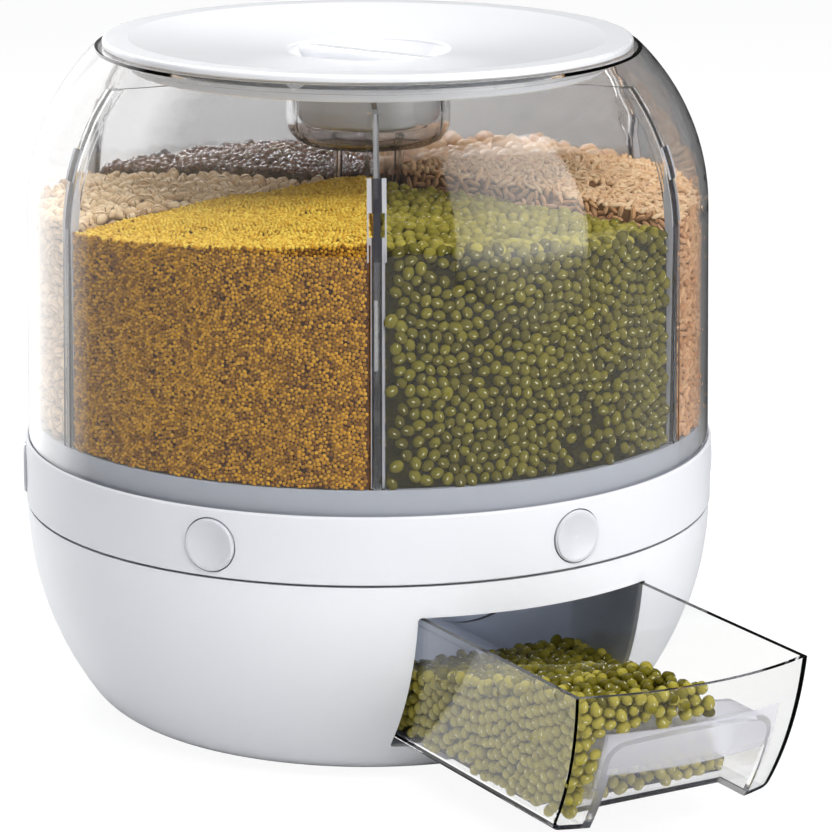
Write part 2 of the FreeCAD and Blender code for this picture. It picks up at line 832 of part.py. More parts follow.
def make_bearing():
    """A loose ring of balls under the turntable, held apart by a flat cage."""
    half = d.cage_width / 2
    low = ball_height - d.cage_thickness / 2
    high = ball_height + d.cage_thickness / 2
    ring = cut("cage_ring", cylinder("cage_disc", race_radius + half, low, high),
               cylinder("cage_hole", race_radius - half, low - 1.0, high + 1.0))
    pockets = around(lambda n: cylinder(
        f"cage_pocket_{n}", d.ball_radius + d.cage_gap, low - 1.0, high + 1.0, 0.0, -race_radius), BALLS)
    finish(cut("bearing_cage", ring, fuse("cage_pockets", pockets)), "bearing_cage")

    def ball(n):
        item = doc.addObject("Part::Sphere", f"ball_{n}")
        bind(item, Radius=d.ball_radius)
        return place(item, 0.0, -race_radius, ball_height)

    finish(group("bearing_balls", around(ball, BALLS)), "bearing_balls")


# Button ring, gate tray and hopper floor

def make_ring():
    """The white ring that shows the six buttons, with a sleeve behind each and a ledge for the tank."""
    outer = d.ring_radius
    lip = d.ring_lip
    ledge_in = floor_radius + d.floor_gap / 2
    ledge_low = ring_ledge - d.ledge_thickness
    shell = spin("ring_shell", [
        (outer - d.ring_flange, ring_base), (outer - 0.5, ring_base), (outer, ring_base + 0.5),
        (outer, ring_top - lip), Arc(lip, -1), (outer - lip, ring_top), (outer - lip, ring_ledge),
        (ledge_in, ring_ledge), (ledge_in, ledge_low), (ring_inner, ledge_low - (ring_inner - ledge_in)),
        (ring_inner, tray_base), (outer - d.ring_flange, tray_base),
    ])
    sleeves = around(lambda n: rod(
        f"ring_sleeve_{n}", sleeve_radius, sleeve_start, ring_inner + 1.0, button_axis), SECTIONS)
    bores = around(lambda n: rod(
        f"ring_bore_{n}", bore_radius, sleeve_start - 1.0, beyond, button_axis), SECTIONS)
    ring = cut("button_ring", fuse("ring_body", [shell, *sleeves]), fuse("ring_bores", bores))
    finish(turn(ring, d.turn_at_rest), "button_ring")


def outlet_outline(extra):
    """The outlet seen from above, counter-clockwise from its far left corner."""
    half = d.outlet_width / 2 + extra
    far = outlet_radius + d.outlet_length / 2 + extra
    near = outlet_radius - d.outlet_length / 2 - extra
    return [(-half, -far), (half, -far), (half, -near), (-half, -near)]


def gate_guides(n):
    """The rails of one gate, and the post and peg behind its spring."""
    rail = d.gate_width / 2 + d.gate_gap
    edge = rail + d.rail_width
    foot = tray_top - 0.5
    span = (-(gate_outer - 2.0), -(gate_inner - d.gate_travel + 2.0))
    left = box(f"rail_left_{n}", (-edge, -rail), span, (foot, tray_top + d.rail_height))
    right = box(f"rail_right_{n}", (rail, edge), span, (foot, tray_top + d.rail_height))
    half = d.seat_width / 2
    post = box(f"tray_stop_{n}", (-half, half), (-spring_stop, 3.5 - spring_stop), (foot, seat_top))
    peg = rod(f"tray_peg_{n}", d.peg_radius, spring_stop - 1.0, spring_stop + 4.0, spring_axis)
    return fuse(f"tray_guides_{n}", [left, right, post, peg])


def button_room(n):
    """Room in the tray for one pressed cap and for the ring's sleeve around it."""
    pressed = cap_back - d.gate_travel - d.button_room
    cap_room = rod(f"tray_cap_room_{n}", d.button_radius + d.button_room, pressed, beyond, button_axis)
    sleeve_room = rod(f"tray_sleeve_room_{n}", sleeve_radius + d.button_room,
                      sleeve_start - d.button_room, beyond, button_axis)
    return fuse(f"tray_button_room_{n}", [cap_room, sleeve_room])


def make_tray():
    """The plate under the gates: rails, spring stops, outlets and the upper race."""
    plate = cylinder("tray_plate", ring_inner - d.tray_gap, tray_base, tray_top)
    boss = cylinder("tray_boss", d.spindle_radius + d.boss_wall, tray_base, spindle_shoulder - d.end_float)

    def outlet(n):
        return slab(f"tray_outlet_{n}", outlet_outline(d.outlet_gap), "XY_Plane",
                    tray_base - 1.0, tray_top + 1.0)

    holes = around(lambda n: screw_hole(
        f"tray_hole_{n}", 0.0, -boss_circle, tray_base, tray_top + 1.0), SECTIONS, divider_angle)
    bore = cylinder("tray_bore", d.spindle_radius + d.spindle_gap, tray_base - 1.0,
                    spindle_shoulder + 1.0)
    body = fuse("tray_body", [plate, boss, *around(gate_guides, SECTIONS)])
    tools = fuse("tray_cuts", [
        ball_race("tray_race"), bore, *holes, *around(outlet, SECTIONS), *around(button_room, SECTIONS),
    ])
    finish(turn(cut("gate_tray", body, tools), d.turn_at_rest), "gate_tray")
    seat = tray_base + d.screw_sink - d.head_height
    screws = around(lambda n: screw(
        f"tray_screw_{n}", 0.0, -boss_circle, seat, seat + d.tray_screw_length), SECTIONS, divider_angle)
    finish(turn(group("tray_screws", screws), d.turn_at_rest), "tray_screws")


def section_outline():
    """The mouth of one funnel: a sector between two dividers, as corners and arcs."""
    far = floor_radius - d.mouth_land
    near = d.hub_radius + d.hub_land
    wide = STEP_ANGLE / 2 - d.land_half_width / far * 57.3
    narrow = STEP_ANGLE / 2 - d.land_half_width / near * 57.3

    def corner(radius, angle):
        return (radius * sine(angle), -(radius * cosine(angle)))

    return [
        corner(far, d.divider_offset - wide), Arc(far, -1), corner(far, d.divider_offset + wide),
        corner(near, d.divider_offset + narrow), Arc(near, 1), corner(near, d.divider_offset - narrow),
    ]


def make_hopper():
    """The tank's floor: six funnels that run down to the gates."""
    plate = cylinder("hopper_plate", floor_radius, floor_base, floor_top)
    skirt = cut("hopper_skirt", cylinder("skirt_outer", floor_radius, ring_ledge, floor_base + 0.5),
                cylinder("skirt_inner", floor_radius - d.skirt_wall, ring_ledge - 1.0, floor_base))
    spigot = cylinder("hopper_spigot", d.hub_radius - d.hub_wall - d.spigot_gap, floor_base,
                      floor_top + d.spigot_height)
    outer = around(lambda n: loft(
        f"funnel_outer_{n}", outlet_outline(d.funnel_wall), outlet_base, section_outline(),
        floor_base + 0.1), SECTIONS)
    inner = around(lambda n: loft(
        f"funnel_inner_{n}", outlet_outline(as_size(0.0)), outlet_base, section_outline(), floor_top),
        SECTIONS)
    bosses = around(lambda n: cylinder(
        f"hopper_boss_{n}", d.boss_radius, tray_top, floor_base, 0.0, -boss_circle),
        SECTIONS, divider_angle)
    bores = around(lambda n: cylinder(
        f"hopper_bore_{n}", d.screw_radius, tray_top - 1.0, tray_base + d.tray_screw_length + 1.0,
        0.0, -boss_circle), SECTIONS, divider_angle)
    body = fuse("hopper_body", [plate, skirt, spigot, *outer, *bosses])
    tools = fuse("hopper_cuts", [*inner, *bores])
    finish(turn(cut("hopper_floor", body, tools), d.turn_at_rest), "hopper_floor")


# Gates, buttons and springs

def make_gate(n, angle):
    """A slide with a hole that comes under the funnel when its button is pressed."""
    half = d.gate_width / 2
    plate = slab(f"gate_plate_{n}", rounded_rectangle((-half, half), (-gate_outer, -gate_inner), 3.0),
                 "XY_Plane", gate_base, gate_top)
    window = outlet_radius + d.gate_travel
    near = window - d.outlet_length / 2
    far = window + d.outlet_length / 2
    side = d.outlet_width / 2
    hole = slab(f"gate_hole_{n}", rounded_rectangle((-side, side), (-far, -near), 1.5),
                "XY_Plane", gate_base - 1.0, gate_top + 1.0)
    front = gate_outer + 1.0
    back = front - d.stand_thickness
    side = d.stand_width / 2
    stand = box(f"gate_stand_{n}", (-side, side), (-front, -back),
                (gate_base, button_axis + d.stem_radius + 1.0))
    side = d.seat_width / 2
    seat = box(f"gate_seat_{n}", (-side, side), (-(gate_inner + 2.0), -gate_inner), (gate_base, seat_top))
    peg = rod(f"gate_peg_{n}", d.peg_radius, gate_inner - 4.0, gate_inner + 1.0, spring_axis)
    socket = rod(f"gate_socket_{n}", d.stem_peg, back - 1.0, front + 1.0, button_axis)
    body = fuse(f"gate_body_{n}", [plate, stand, seat, peg])
    gate = cut(f"gate_slide_{n}", body, fuse(f"gate_cuts_{n}", [hole, socket]))
    finish(turn(gate, angle), f"gate_slide_{n}")


def make_button(n, angle):
    """A round cap with a raised rim and a dished face, on a stem to its gate."""
    radius = d.button_radius
    face = cap_back + d.button_length
    stem_end = gate_outer + 1.0
    tip = stem_end - d.stem_depth
    dish_radius = radius - d.button_rim
    dish_arc = (dish_radius * dish_radius + d.button_dish * d.button_dish) / (d.button_dish * 2)
    skin = face - d.button_dish - d.button_wall
    bend = 0.6
    cap = spin(f"button_turned_{n}", [
        (0.0, face - d.button_dish), Arc(dish_arc, -1), (dish_radius, face),
        (radius - bend, face), Arc(bend, -1), (radius, face - bend), (radius, cap_back),
        (radius - d.button_wall, cap_back), (radius - d.button_wall, skin), (d.stem_radius, skin),
        (d.stem_radius, stem_end), (d.stem_peg, stem_end), (d.stem_peg, tip), (0.0, tip),
    ])
    cap.Placement.Rotation = FreeCAD.Rotation(FreeCAD.Vector(1, 0, 0), 90)
    place(cap, 0.0, 0.0, button_axis)
    finish(turn(group(f"button_cap_{n}", [cap]), angle), f"button_cap_{n}")


def make_spring(n, angle):
    """The return spring between the tray's stop and the gate, as its outer and inner sizes."""
    outside = rod(f"spring_outside_{n}", d.spring_radius, spring_stop, gate_inner, spring_axis)
    inside = rod(f"spring_inside_{n}", d.spring_radius - d.spring_wire, spring_stop - 1.0,
                 gate_inner + 1.0, spring_axis)
    finish(turn(cut(f"return_spring_{n}", outside, inside), angle), f"return_spring_{n}")


# Tank

def tank_curve(inset, low, high):
    """The tank's side from low up to high, moved in by inset: a drafted wall and a round shoulder."""
    slope = d.tank_draft / (shoulder_start - tank_foot)
    foot = tank_side_radius + slope * (shoulder_start - low) - inset
    bend = d.shoulder_arc - inset
    top = shoulder_middle + arc_reach(bend, high - shoulder_start)
    return (foot, low), (tank_side_radius - inset, shoulder_start), Arc(bend, -1), (top, high)


def reverse_tank_curve(inset, low, high):
    foot, side, bend, top = tank_curve(inset, low, high)
    return top, Arc(bend.radius, 1), side, foot


def make_tank():
    """The clear outer wall, with a pair of ribs inside for each divider."""
    wall = d.tank_wall
    neck_low = tank_top - d.neck_depth
    roof = tank_top - d.roof_wall
    neck = mouth_radius + d.neck_wall
    shell = spin("tank_wall", [
        *tank_curve(as_size(0.0), tank_foot, tank_top), (mouth_radius, tank_top),
        (mouth_radius, neck_low), (neck, neck_low), (neck, roof),
        *reverse_tank_curve(wall, tank_foot, roof),
    ])
    low = floor_top + d.divider_gap
    band = spin("rib_band", [
        *tank_curve(wall - 0.6, low, divider_top),
        *reverse_tank_curve(wall + d.rib_depth, low, divider_top),
    ])
    near = d.divider_thickness / 2 + d.divider_gap
    far = near + d.rib_thickness
    reach = (-d.ring_radius, -d.hub_radius)

    def rib_pair(n):
        left = box(f"rib_left_{n}", (-far, -near), reach, (low, divider_top))
        right = box(f"rib_right_{n}", (near, far), reach, (low, divider_top))
        return group(f"rib_pair_{n}", [left, right])

    slots = group("rib_slots", around(rib_pair, SECTIONS, divider_angle))
    ribs = common("tank_ribs", [band, slots])
    finish(turn(fuse("tank_shell", [shell, ribs]), d.turn_at_rest), "tank_shell")


def make_partition():
    """Six dividers on a hollow hub, with the cup at the top that the lid's well drops into."""
    low = floor_top
    high = divider_top
    limit = spin("divider_limit", [
        (0.0, low), *tank_curve(d.tank_wall + d.divider_gap, low, high), (0.0, high),
    ])
    half = d.divider_thickness / 2
    plates = around(lambda n: box(
        f"divider_{n}", (-half, half), (-d.ring_radius, 0.0), (low, high)), SECTIONS, divider_angle)
    dividers = common("dividers", [fuse("divider_plates", plates), limit])
    cup_low = high - d.cup_height
    bend = d.cup_corner
    hub = spin("hub_outside", [
        (0.0, low), (d.hub_radius, low), (d.hub_radius, cup_low), (d.cup_radius - bend, cup_low),
        Arc(bend, -1), (d.cup_radius, cup_low + bend), (d.cup_radius, high), (0.0, high),
    ])
    inner = d.cup_radius - d.cup_wall
    inner_bend = bend - d.cup_wall
    room = spin("cup_inside", [
        (0.0, cup_low + d.cup_wall), (inner - inner_bend, cup_low + d.cup_wall),
        Arc(inner_bend, -1), (inner, cup_low + bend), (inner, high + 1.0), (0.0, high + 1.0),
    ])
    bore = cylinder("hub_inside", d.hub_radius - d.hub_wall, low - 1.0, cup_low)
    body = fuse("partition_body", [dividers, hub])
    partition = cut("tank_partition", body, fuse("partition_cuts", [room, bore]))
    finish(turn(partition, d.turn_at_rest), "tank_partition")


# Lid

def make_lid():
    """The shallow dished lid, with a round well crossed by a hollow grip bar."""
    top = lid_top
    edge = d.lid_edge
    corner = d.lid_corner
    dish = top - d.lid_dish
    under = dish - d.lid_plate
    land = plug_radius - d.plug_wall - d.liner_width
    wall = d.well_wall
    bottom = dish - d.well_depth
    low = bottom - wall
    bend = d.well_corner
    throat = d.cup_radius - d.cup_wall - d.well_gap
    throat_height = divider_top + d.throat_rise
    inner = throat - wall
    disc = spin("lid_disc", [
        (0.0, under), (d.well_radius, under), (land - corner, lid_base), (lid_radius - corner, lid_base),
        (lid_radius, lid_base + corner), (lid_radius, top - edge), Arc(edge, -1), (lid_radius - edge, top),
        (lid_radius - d.lid_rim, top), (d.well_radius, dish), (0.0, dish),
    ])
    well = spin("well_outside", [
        (0.0, low), (throat - bend, low), Arc(bend, -1), (throat, low + bend),
        (throat, throat_height), (d.well_radius + wall, under + corner), (0.0, under + corner),
    ])
    room = spin("well_inside", [
        (0.0, bottom), (throat - bend, bottom), Arc(bend - wall, -1), (inner, bottom + bend - wall),
        (inner, throat_height), (d.well_radius - edge, dish - edge), Arc(edge, 1), (d.well_radius, dish),
        (d.well_radius, top + 1.0), (0.0, top + 1.0),
    ])
    half = d.grip_width / 2
    crown = dish - d.grip_drop
    shoulder = Arc(d.grip_round, -1)
    side = half - d.grip_round
    limit = spin("grip_limit", [
        (0.0, low), (throat - bend, low), Arc(bend, -1), (throat, low + bend),
        (throat, throat_height), (d.well_radius + corner, dish - edge), (d.well_radius + corner, dish),
        (0.0, dish),
    ])
    profile = slab("grip_profile", [
        (-half, low), (half, low), (half, crown - d.grip_round), shoulder, (side, crown),
        (-side, crown), shoulder, (-half, crown - d.grip_round),
    ], "XZ_Plane", -(d.well_radius + 5.0), d.well_radius + 5.0)
    slot = half - d.grip_wall
    groove = slab("grip_groove", [
        (-slot, low - 1.0), (slot, low - 1.0), (slot, crown - d.grip_round), (-slot, crown - d.grip_round),
    ], "XZ_Plane", 1.0 - inner, inner - 1.0)
    scooped = cut("lid_scooped", fuse("lid_body", [disc, well]), room)
    gripped = fuse("lid_gripped", [scooped, common("grip_bar", [limit, profile])])
    finish(turn(cut("lid_cover", gripped, groove), d.grip_angle), "lid_cover")


def make_lid_liner():
    """The plug ring under the lid and the soft seal in its groove."""
    outer = plug_radius
    inner = outer - d.plug_wall
    low = lid_base - d.plug_depth
    flange = inner - d.liner_width
    flange_low = lid_base - d.liner_thickness
    groove = outer - d.seal_groove
    seal_low = lid_base - d.neck_depth + d.seal_rise
    seal_high = seal_low + d.seal_height
    finish(spin("lid_liner", [
        (inner, low), (outer - 0.6, low), (outer, low + 0.6), (outer, seal_low), (groove, seal_low),
        (groove, seal_high), (outer, seal_high), (outer, lid_base), (flange, lid_base),
        (flange, flange_low), (inner, flange_low),
    ]), "lid_liner")
    lip = outer + 0.4
    finish(spin("lid_seal", [
        (groove, seal_low), (lip, seal_low), (mouth_radius - d.seal_gap, (seal_low + seal_high) / 2),
        (lip, seal_high), (groove, seal_high),
    ]), "lid_seal")


def check_and_write():
    """Recompute, stop on any failed object, and write one file for each sub-part."""
    doc.recompute()
    for item in doc.Objects:
        bad = [state for state in item.State if state in ("Invalid", "Error")]
        if bad:
            raise RuntimeError(f"{item.Label}: {bad}")
    os.makedirs("parts", exist_ok=True)
    for item in parts:
        shape = item.Shape
        if shape.isNull() or not shape.isValid() or not shape.Solids:
            raise RuntimeError(f"{item.Label} has no valid solid")
        shape.exportStep(f"parts/{item.Label}.step")
        print(item.Label, "solids", len(shape.Solids), "volume", round(shape.Volume))


make_bowl()
make_feet()
make_bay()
make_drawer()
make_deck()
make_base_screws()
make_spindle()
make_bearing()
make_ring()
make_tray()
make_hopper()
for index in range(SECTIONS):
    section_angle = d.turn_at_rest + index * STEP_ANGLE
    make_gate(index + 1, section_angle)
    make_button(index + 1, section_angle)
    make_spring(index + 1, section_angle)
make_tank()
make_partition()
make_lid()
make_lid_liner()
check_and_write()
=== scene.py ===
import math

import bpy
import numpy as np
from mathutils import Matrix, Vector


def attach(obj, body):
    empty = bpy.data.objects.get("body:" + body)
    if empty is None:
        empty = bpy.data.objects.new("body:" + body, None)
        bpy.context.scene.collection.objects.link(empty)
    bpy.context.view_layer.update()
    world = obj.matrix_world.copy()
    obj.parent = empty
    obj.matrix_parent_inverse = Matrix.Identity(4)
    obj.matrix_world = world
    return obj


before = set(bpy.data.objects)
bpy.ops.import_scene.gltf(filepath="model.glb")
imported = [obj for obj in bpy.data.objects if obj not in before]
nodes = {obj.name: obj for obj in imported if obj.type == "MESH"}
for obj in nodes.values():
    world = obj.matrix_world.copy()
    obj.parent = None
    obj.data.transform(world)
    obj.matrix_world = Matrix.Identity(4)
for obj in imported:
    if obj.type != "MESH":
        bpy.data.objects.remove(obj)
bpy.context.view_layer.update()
scene = bpy.context.scene
MM = 0.001

# Places taken from the CAD sizes, in millimetres and degrees
SECTIONS = 6
HALF_SECTION = 180.0 / SECTIONS
DIVIDERS_AT = 32.0
FLOOR_TOP = 136.0
WALL_FOOT = 150.6
WALL_SIDE = 148.8
WALL_START = 123.0
SHOULDER = 228.0
SHOULDER_ARC = 97.0
HUB_RADIUS = 16.5
RIB_INNER = 144.2
RIB_OUTER = 148.7
RIB_HALF = 4.0
RIB_DARK_HALF = 2.1
RIB_FOOT = 136.6
PULL = 120.0
DRAWER_FLOOR = 20.9
DRAWER_TOP = 80.5
DRAWER_BACK = -91.4
DRAWER_LENGTH = 260.0
DRAWER_HALF = 50.3
DRAWER_FLARE = 0.047
HOUSING_HALF = 39.9
HOUSING_ROOF = 62.6
HOUSING_BACK = -225.6
HOUSING_LEAN = 0.268
POCKET_HALF = 41.2
POCKET_BACK = -223.5
POCKET_TOP = 63.7
POCKET_FADE = (30.0, 48.0)
BOWL_TOP = 95.0
BOWL_ARC = 143.0
BOWL_CORNER = 26.0
BOWL_CENTRE = 11.5
BOWL_LOW = 27.2
FRONT_WALL = 2.4

# How the seeds fill the tank and the drawer, in millimetres, degrees and shares of an area
TANK_REACH = 150.0
TANK_PACKING = 0.90
SEED_WALL_GAP = 0.35
CORE_DIVIDER_GAP = 1.3
EDGE_DIVIDER_GAP = 1.5
SIDE_DIVIDER_GAP = 1.6
RIB_GAP = 3.6
RIB_STEP = 3.4
TOP_RIB_RADIUS = 144.0
SIDE_RIB_STEP = 4.2
SIDE_REACH = 130.0
SIDE_DEPTH = 34.0
CORE_LIFT = 0.4
DRAWER_PACKING = 0.80
DRAWER_WALL_DEPTH = 62.0
DRAWER_SPARE = 3.0
SIZE_SPREAD = 0.08

# The camera, in degrees, metres and the lens's own millimetres
CAMERA_YAW = 0.75
CAMERA_TILT = -14.11
CAMERA_ROLL = 0.09
CAMERA_TURN = -29.34
CAMERA_PLACE = (-0.8018, -1.4266, 0.5414)
CAMERA_LENS = 160.87
CAMERA_SENSOR = 36.0

# Directions of the studio, as the camera sees them
CAMERA_RIGHT = (0.872, -0.490, 0.0)
CAMERA_AHEAD = (0.490, 0.872, 0.0)
REAR_LEFT = (-0.174, 0.985, 0.0)

# Range of seed tones, from dark to light, against the walls, behind those seeds and on the top, and in the
# drawer at its walls and on its top. These ranges are painted light and shade: darker for seeds at the
# tank's walls and behind them, lighter on the tank's top, lighter at the drawer's walls and darker on the
# drawer's top.
WALL_SHADED_TONES = (0.0, 0.55)
BEHIND_SHADED_TONES = (0.0, 0.2)
TOP_LIT_TONES = (0.6, 1.0)
DRAWER_LIT_TONES = (0.8, 1.0)
DRAWER_TOP_SHADED_TONES = (0.0, 0.6)

# Light levels, and the softbox's corners in metres
WORLD_LIGHT = 0.29
FLOOR_WHITE = 1.08
FLOOR_SHARE = 0.86
FLOOR_THROUGH = 1.12
BEHIND_RIGHT = 0.31
BEHIND_LEFT = 0.49
MIRROR_DARK = 0.03
MIRROR_LEFT = 2.4
BOX_NEAR_LEFT = (-0.055, -1.345, -0.60)
BOX_FAR_RIGHT = (0.905, -0.960, 1.36)
BOX_CORNER = 0.16
BOX_STRENGTH = 2.1


# Camera

def make_camera():
    """The photograph's camera, solved from the outlines of the ring, the lid and the seam."""
    yaw = math.radians(CAMERA_YAW)
    tilt = math.radians(CAMERA_TILT)
    roll = math.radians(CAMERA_ROLL)
    ahead = Vector((math.sin(yaw), math.cos(yaw), 0.0))
    right = Vector((math.cos(yaw), -math.sin(yaw), 0.0))
    up = Vector((0.0, 0.0, 1.0))
    forward = ahead * math.cos(tilt) + up * math.sin(tilt)
    above = -ahead * math.sin(tilt) + up * math.cos(tilt)
    side = right * math.cos(roll) + above * math.sin(roll)
    top = -right * math.sin(roll) + above * math.cos(roll)
    turned = Matrix.Rotation(math.radians(CAMERA_TURN), 3, "Z")
    axes = [turned @ side, turned @ top, turned @ -forward]
    place = Matrix([[axes[c][r] for c in range(3)] for r in range(3)]).to_4x4()
    place.translation = Vector(CAMERA_PLACE)
    lens = bpy.data.cameras.new("view")
    lens.sensor_width = CAMERA_SENSOR
    lens.lens = CAMERA_LENS
    lens.clip_start = 0.05
    camera = bpy.data.objects.new("view", lens)
    camera.matrix_world = place
    scene.collection.objects.link(camera)
    scene.camera = camera


# Node helpers

class Nodes:
    """A short way to add and join a material's nodes."""

    def __init__(self, name):
        self.material = bpy.data.materials.new(name)
        self.material.use_nodes = True
        self.tree = self.material.node_tree
        self.tree.nodes.clear()
        self.out = self.tree.nodes.new("ShaderNodeOutputMaterial")

    def add(self, kind, inputs=None, **settings):
        node = self.tree.nodes.new(f"ShaderNode{kind}")
        for key, value in settings.items():
            setattr(node, key, value)
        for key, value in (inputs or {}).items():
            socket = node.inputs[key]
            if isinstance(value, bpy.types.NodeSocket):
                self.tree.links.new(value, socket)
            else:
                socket.default_value = value
        return node

    def math(self, operation, a, b=0.0, clamp=False):
        return self.add("Math", {0: a, 1: b}, operation=operation, use_clamp=clamp).outputs[0]

    def noise(self, scale, detail=2.0, vector=None, roughness=0.5):
        inputs = {"Scale": scale, "Detail": detail, "Roughness": roughness}
        if vector is not None:
            inputs["Vector"] = vector
        return self.add("TexNoise", inputs).outputs["Fac"]

    def ramp(self, value, low, high, at=(0.0, 1.0)):
        node = self.add("MapRange", {"Value": value, "From Min": at[0], "From Max": at[1],
                                     "To Min": low, "To Max": high})
        return node.outputs["Result"]

    def blend(self, factor, a, b, blend_type="MIX"):
        node = self.add("Mix", data_type="RGBA", blend_type=blend_type)
        for socket, value in ((node.inputs["Factor"], factor), (node.inputs[6], a), (node.inputs[7], b)):
            if isinstance(value, bpy.types.NodeSocket):
                self.tree.links.new(value, socket)
            else:
                socket.default_value = value
        return node.outputs[2]

    def bump(self, height, strength, distance):
        node = self.add("Bump", {"Height": height, "Strength": strength, "Distance": distance})
        return node.outputs["Normal"]

    def finish(self, shader):
        self.tree.links.new(shader, self.out.inputs["Surface"])
        return self.material


def rgb(r, g, b):
    return (r, g, b, 1.0)


def place_vector(n):
    """The point's place in metres, from the object's own coordinates."""
    return n.add("TexCoord").outputs["Object"]


# Materials

def moulded(name, colour, roughness, grain=0.25, coat=0.0):
    """Opaque moulded plastic: a fine tool texture, slow changes of gloss, a trace of tint, and painted
    shade where the surface is closed in.
    """
    n = Nodes(name)
    where = place_vector(n)
    slow = n.noise(9.0, 2.0, where)
    fine = n.noise(1500.0, 2.0, where)
    tint = n.blend(n.ramp(slow, 0.0, 1.0, (0.35, 0.65)), rgb(*[c * 0.985 for c in colour]), rgb(*colour))
    gloss = n.ramp(n.noise(35.0, 3.0, where), roughness * 0.97, roughness * 1.03, (0.3, 0.7))
    # Painted shade: the colour darkens toward a dark blue-grey where ambient occlusion finds the surface
    # closed in, at seams, around buttons and in recesses.
    shade_openness = n.add("AmbientOcclusion", {"Distance": 0.007}, samples=6).outputs["AO"]
    tint = n.blend(n.ramp(shade_openness, 0.45, 0.0), tint, rgb(0.10, 0.11, 0.14))
    shader = n.add("BsdfPrincipled", {
        "Base Color": tint, "Roughness": gloss, "IOR": 1.49,
        "Normal": n.bump(fine, grain, 0.00002),
        "Coat Weight": coat, "Coat Roughness": 0.08,
    })
    return n.finish(shader.outputs[0])


def rib_painted_light_and_shade(n, where):
    """The outer edges of the dividers with the ribs beside them: where they are, and their painted greys, a
    dark line of painted shade in the middle and light bands of painted light at the sides.
    """
    axes = n.add("SeparateXYZ", {0: where}).outputs
    radius = n.add("VectorMath", {0: n.add("CombineXYZ", {0: axes[0], 1: axes[1]}).outputs[0]},
                   operation="LENGTH").outputs["Value"]
    turn = n.math("ARCTAN2", axes[0], n.math("MULTIPLY", axes[1], -1.0))
    turn = n.math("SUBTRACT", turn, math.radians(DIVIDERS_AT))
    turn = n.math("PINGPONG", turn, math.radians(HALF_SECTION))
    aside = n.math("MULTIPLY", turn, radius)
    here = n.math("MULTIPLY", n.math("GREATER_THAN", radius, RIB_INNER * MM),
                  n.math("LESS_THAN", radius, RIB_OUTER * MM))
    here = n.math("MULTIPLY", here, n.math("LESS_THAN", aside, RIB_HALF * MM))
    here = n.math("MULTIPLY", here, n.math("GREATER_THAN", axes[2], RIB_FOOT * MM))
    # Painted shade for the dark middle line and painted light for the light grey bands on the clear rib
    # edges.
    dark = n.math("LESS_THAN", aside, RIB_DARK_HALF * MM)
    shade = n.blend(dark, rgb(0.46, 0.46, 0.49), rgb(0.035, 0.035, 0.042))
    return n.math("MULTIPLY", here, 0.86), shade


def pocket_shades(n, where):
    """The finger pocket's moulding, where light scatters a little."""
    axes = n.add("SeparateXYZ", {0: where}).outputs
    here = n.math("LESS_THAN", n.math("ABSOLUTE", axes[0]), POCKET_HALF * MM)
    here = n.math("MULTIPLY", here, n.math("LESS_THAN", axes[1], POCKET_BACK * MM))
    here = n.math("MULTIPLY", here, n.math("LESS_THAN", axes[2], POCKET_TOP * MM))
    low = n.ramp(axes[2], 0.10, 0.34, tuple(height * MM for height in POCKET_FADE))
    return n.math("MULTIPLY", here, low), rgb(0.66, 0.66, 0.72)


def clear(name, tint, roughness=0.02, ior=1.49, shades=None):
    """Clear moulded plastic, which lets lamps through to what is inside."""
    n = Nodes(name)
    where = place_vector(n)
    ripple = n.bump(n.noise(14.0, 1.0, where), 0.12, 0.0004)
    gloss = n.ramp(n.noise(60.0, 3.0, where), roughness * 0.5, roughness * 1.5, (0.3, 0.7))
    glass = n.add("BsdfPrincipled", {
        "Base Color": rgb(*tint), "Roughness": gloss, "IOR": ior, "Transmission Weight": 1.0,
        "Normal": ripple,
    })
    # Where a shades function is given, its opaque colour is mixed into the glass by its mask; on the tank
    # and the dividers that is painted light and shade at the rib edges.
    if shades is not None:
        factor, shade = shades(n, where)
        solid = n.add("BsdfPrincipled", {"Base Color": shade, "Roughness": 0.25})
        glass = n.add("MixShader", {0: factor, 1: glass.outputs[0], 2: solid.outputs[0]})
    through = n.add("BsdfTransparent", {"Color": rgb(*[0.5 + 0.5 * c for c in tint])})
    path = n.add("LightPath")
    pass_by = n.math("MAXIMUM", path.outputs["Is Shadow Ray"], path.outputs["Is Diffuse Ray"])
    mixed = n.add("MixShader", {0: pass_by, 1: glass.outputs[0], 2: through.outputs[0]})
    return n.finish(mixed.outputs[0])


def metal(name, colour, roughness, along=(1.0, 1.0, 30.0)):
    """Steel with fine turned or drawn lines."""
    n = Nodes(name)
    where = n.add("Mapping", {"Vector": place_vector(n), "Scale": along}).outputs[0]
    lines = n.noise(90.0, 4.0, where)
    shader = n.add("BsdfPrincipled", {
        "Base Color": n.blend(lines, rgb(*[c * 0.85 for c in colour]), rgb(*colour)),
        "Metallic": 1.0,
        "Roughness": n.ramp(lines, roughness * 0.7, roughness * 1.3, (0.3, 0.7)),
        "Normal": n.bump(lines, 0.15, 0.00005),
    })
    return n.finish(shader.outputs[0])


def rubber(name, colour):
    """Dull rubber with fine pits."""
    n = Nodes(name)
    where = place_vector(n)
    pits = n.noise(900.0, 3.0, where)
    shader = n.add("BsdfPrincipled", {
        "Base Color": n.blend(n.noise(40.0, 2.0, where), rgb(*[c * 0.8 for c in colour]), rgb(*colour)),
        "Roughness": n.ramp(pits, 0.62, 0.85, (0.3, 0.7)),
        "Normal": n.bump(pits, 0.4, 0.00005),
    })
    return n.finish(shader.outputs[0])


